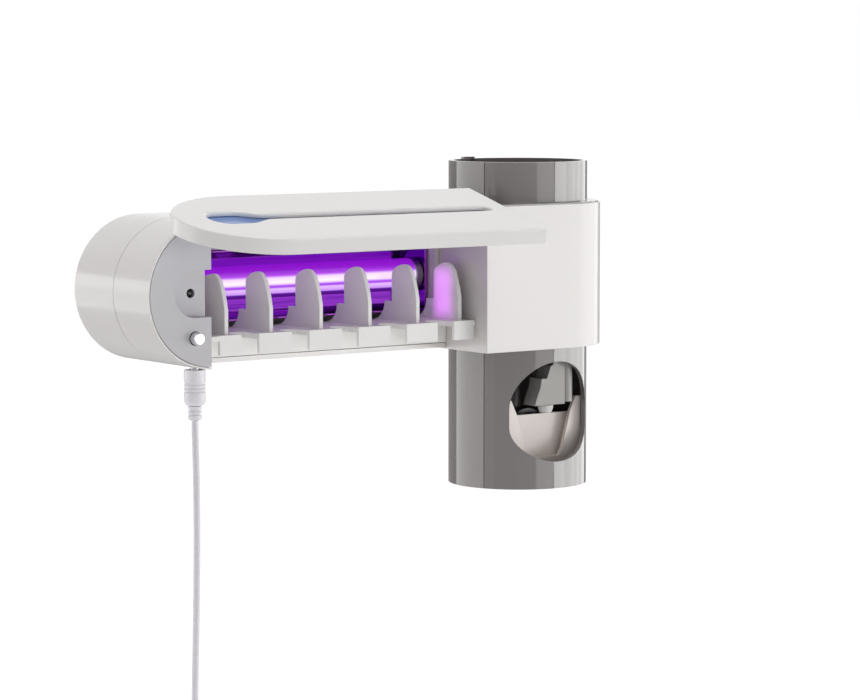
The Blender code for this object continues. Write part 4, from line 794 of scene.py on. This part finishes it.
feed(tree, tree.nodes["World Output"], {"Surface": mix.outputs[0]})
print("world strength on the object:", EVEN_STRENGTH)

# %% [markdown]
# ## Lamps
#
# One wide lamp above gives the tops their light. A sun would throw hard shadows under the
# flap, and a small lamp close by would light the near parts more than the far ones. A large
# area lamp far above does neither.


# %% A soft lamp that faces a point
def soft_lamp(name, place, target, width, height, power):
    """A rectangular area lamp that faces a point."""
    data = bpy.data.lights.new(name, "AREA")
    data.shape = "RECTANGLE"
    data.size = width
    data.size_y = height
    data.energy = power
    lamp = bpy.data.objects.new(name, data)
    bpy.context.scene.collection.objects.link(lamp)
    lamp.location = place
    lamp.rotation_euler = (Vector(target) - Vector(place)).to_track_quat("-Z", "Y").to_euler()
    print("lamp:", name)
    return lamp


soft_lamp("key_above", (0.0, -0.2, 1.5), (0, 0, 0), 1.4, 1.0, 13.5)

# %% [markdown]
# The last fin stands beyond the lamp's end and glows violet on the side that faces it. The
# tube's own glow is too weak there, so a tiny lamp with a narrow beam shines on that fin. No
# camera ray and no mirror sees it.

# %% The lamp's end, which shines on the last fin
END_GLOW_PLACE, LAST_FIN_MIDDLE = (0.0190, -0.0465, -0.0055), (0.0382, -0.0465, -0.0060)
end_glow = soft_lamp("lamp_end_glow", END_GLOW_PLACE, LAST_FIN_MIDDLE, 0.012, 0.020, 0.0006)
end_glow.data.color = (0.72, 0.12, 1.0)
end_glow.data.spread = math.radians(32)
end_glow.visible_camera = False
end_glow.visible_glossy = False

# %% [markdown]
# The polished cylinder shows its lamps as upright bands, so what stands round it decides how
# it looks. Each strip lamp fills the space between two angles as seen from the cylinder, and
# gets its brightness as seen. Its width and power follow from those. One image of a studio
# could light the cylinder too, but strips are easy to shift one by one.

# %% Strips round the cylinder
CYLINDER_X, CYLINDER_Y = 0.086, -0.033
STRIP_REACH, STRIP_Z = 1.9, -0.15
STRIPS = (
    ("front_left", -76, -6, 0.6, 0.55), ("front", -6, 24, 0.52, 1.6),
    ("front_right", 26, 49, 0.52, 4.8), ("right", 49, 72, 0.52, 3.8),
    ("side_right", 72, 88, 0.52, 2.9), ("far_right", 88, 112, 0.7, 1.9),
    ("left", -98, -76, 0.7, 0.7), ("left_behind", -160, -98, 0.9, 1.75))


def strip_lamp(name, start, end, high, radiance):
    """An upright strip that the cylinder sees between two angles, counted from -Y towards +X."""
    half = math.radians(end - start) / 2
    middle = math.radians(end + start) / 2
    width = 2 * STRIP_REACH * math.tan(half)
    power = math.pi * width * high * radiance
    place = (CYLINDER_X + STRIP_REACH * math.sin(middle),
             CYLINDER_Y - STRIP_REACH * math.cos(middle), STRIP_Z)
    soft_lamp(name, place, (CYLINDER_X, CYLINDER_Y, STRIP_Z), width, high, power)


for row in STRIPS:
    strip_lamp(*row)

# %% [markdown]
# ## The floor
#
# A wide pale floor lies far below. It throws light up at the body's underside. A plain
# plane would show where it ends against the background, so for camera rays most of its look
# is plain white light. From below it is clear, so that the object can be seen from there too.

# %% Floor
FLOOR_Z, FLOOR_HALF = -0.62, 40.0
FLOOR_WHITE, FLOOR_WHITE_SHARE = 1.35, 0.7
floor_mesh = bpy.data.meshes.new("floor")
shape = bmesh.new()
bmesh.ops.create_grid(shape, x_segments=2, y_segments=2, size=FLOOR_HALF)
bmesh.ops.translate(shape, vec=(0, 0, FLOOR_Z), verts=shape.verts)
shape.to_mesh(floor_mesh)
shape.free()
floor = bpy.data.objects.new("floor", floor_mesh)
bpy.context.scene.collection.objects.link(floor)
print("floor at z:", FLOOR_Z)

# %% The floor's finish
floor_look, tree, shader = new_finish("pale_floor")
feed(tree, shader, {"Base Color": (0.9, 0.9, 0.9, 1), "Roughness": 0.8})
bare = add_node(tree, "ShaderNodeEmission", {"Strength": FLOOR_WHITE})
path = add_node(tree, "ShaderNodeLightPath")
white_share = add_node(tree, "ShaderNodeMath", {0: path.outputs["Is Camera Ray"], 1: FLOOR_WHITE_SHARE},
                       operation="MULTIPLY")
mix = add_node(tree, "ShaderNodeMixShader",
               {"Fac": white_share.outputs[0], 1: shader.outputs[0], 2: bare.outputs[0]})
side_seen = add_node(tree, "ShaderNodeNewGeometry")
clear = add_node(tree, "ShaderNodeBsdfTransparent")
seen_from = add_node(tree, "ShaderNodeMixShader",
                     {"Fac": side_seen.outputs["Backfacing"], 1: mix.outputs[0], 2: clear.outputs[0]})
feed(tree, tree.nodes["Material Output"], {"Surface": seen_from.outputs[0]})
floor_mesh.materials.append(floor_look)
print("floor: white share of its look for the camera:", FLOOR_WHITE_SHARE)

bpy.context.scene.view_settings.view_transform = "Standard"
bpy.context.view_layer.update()
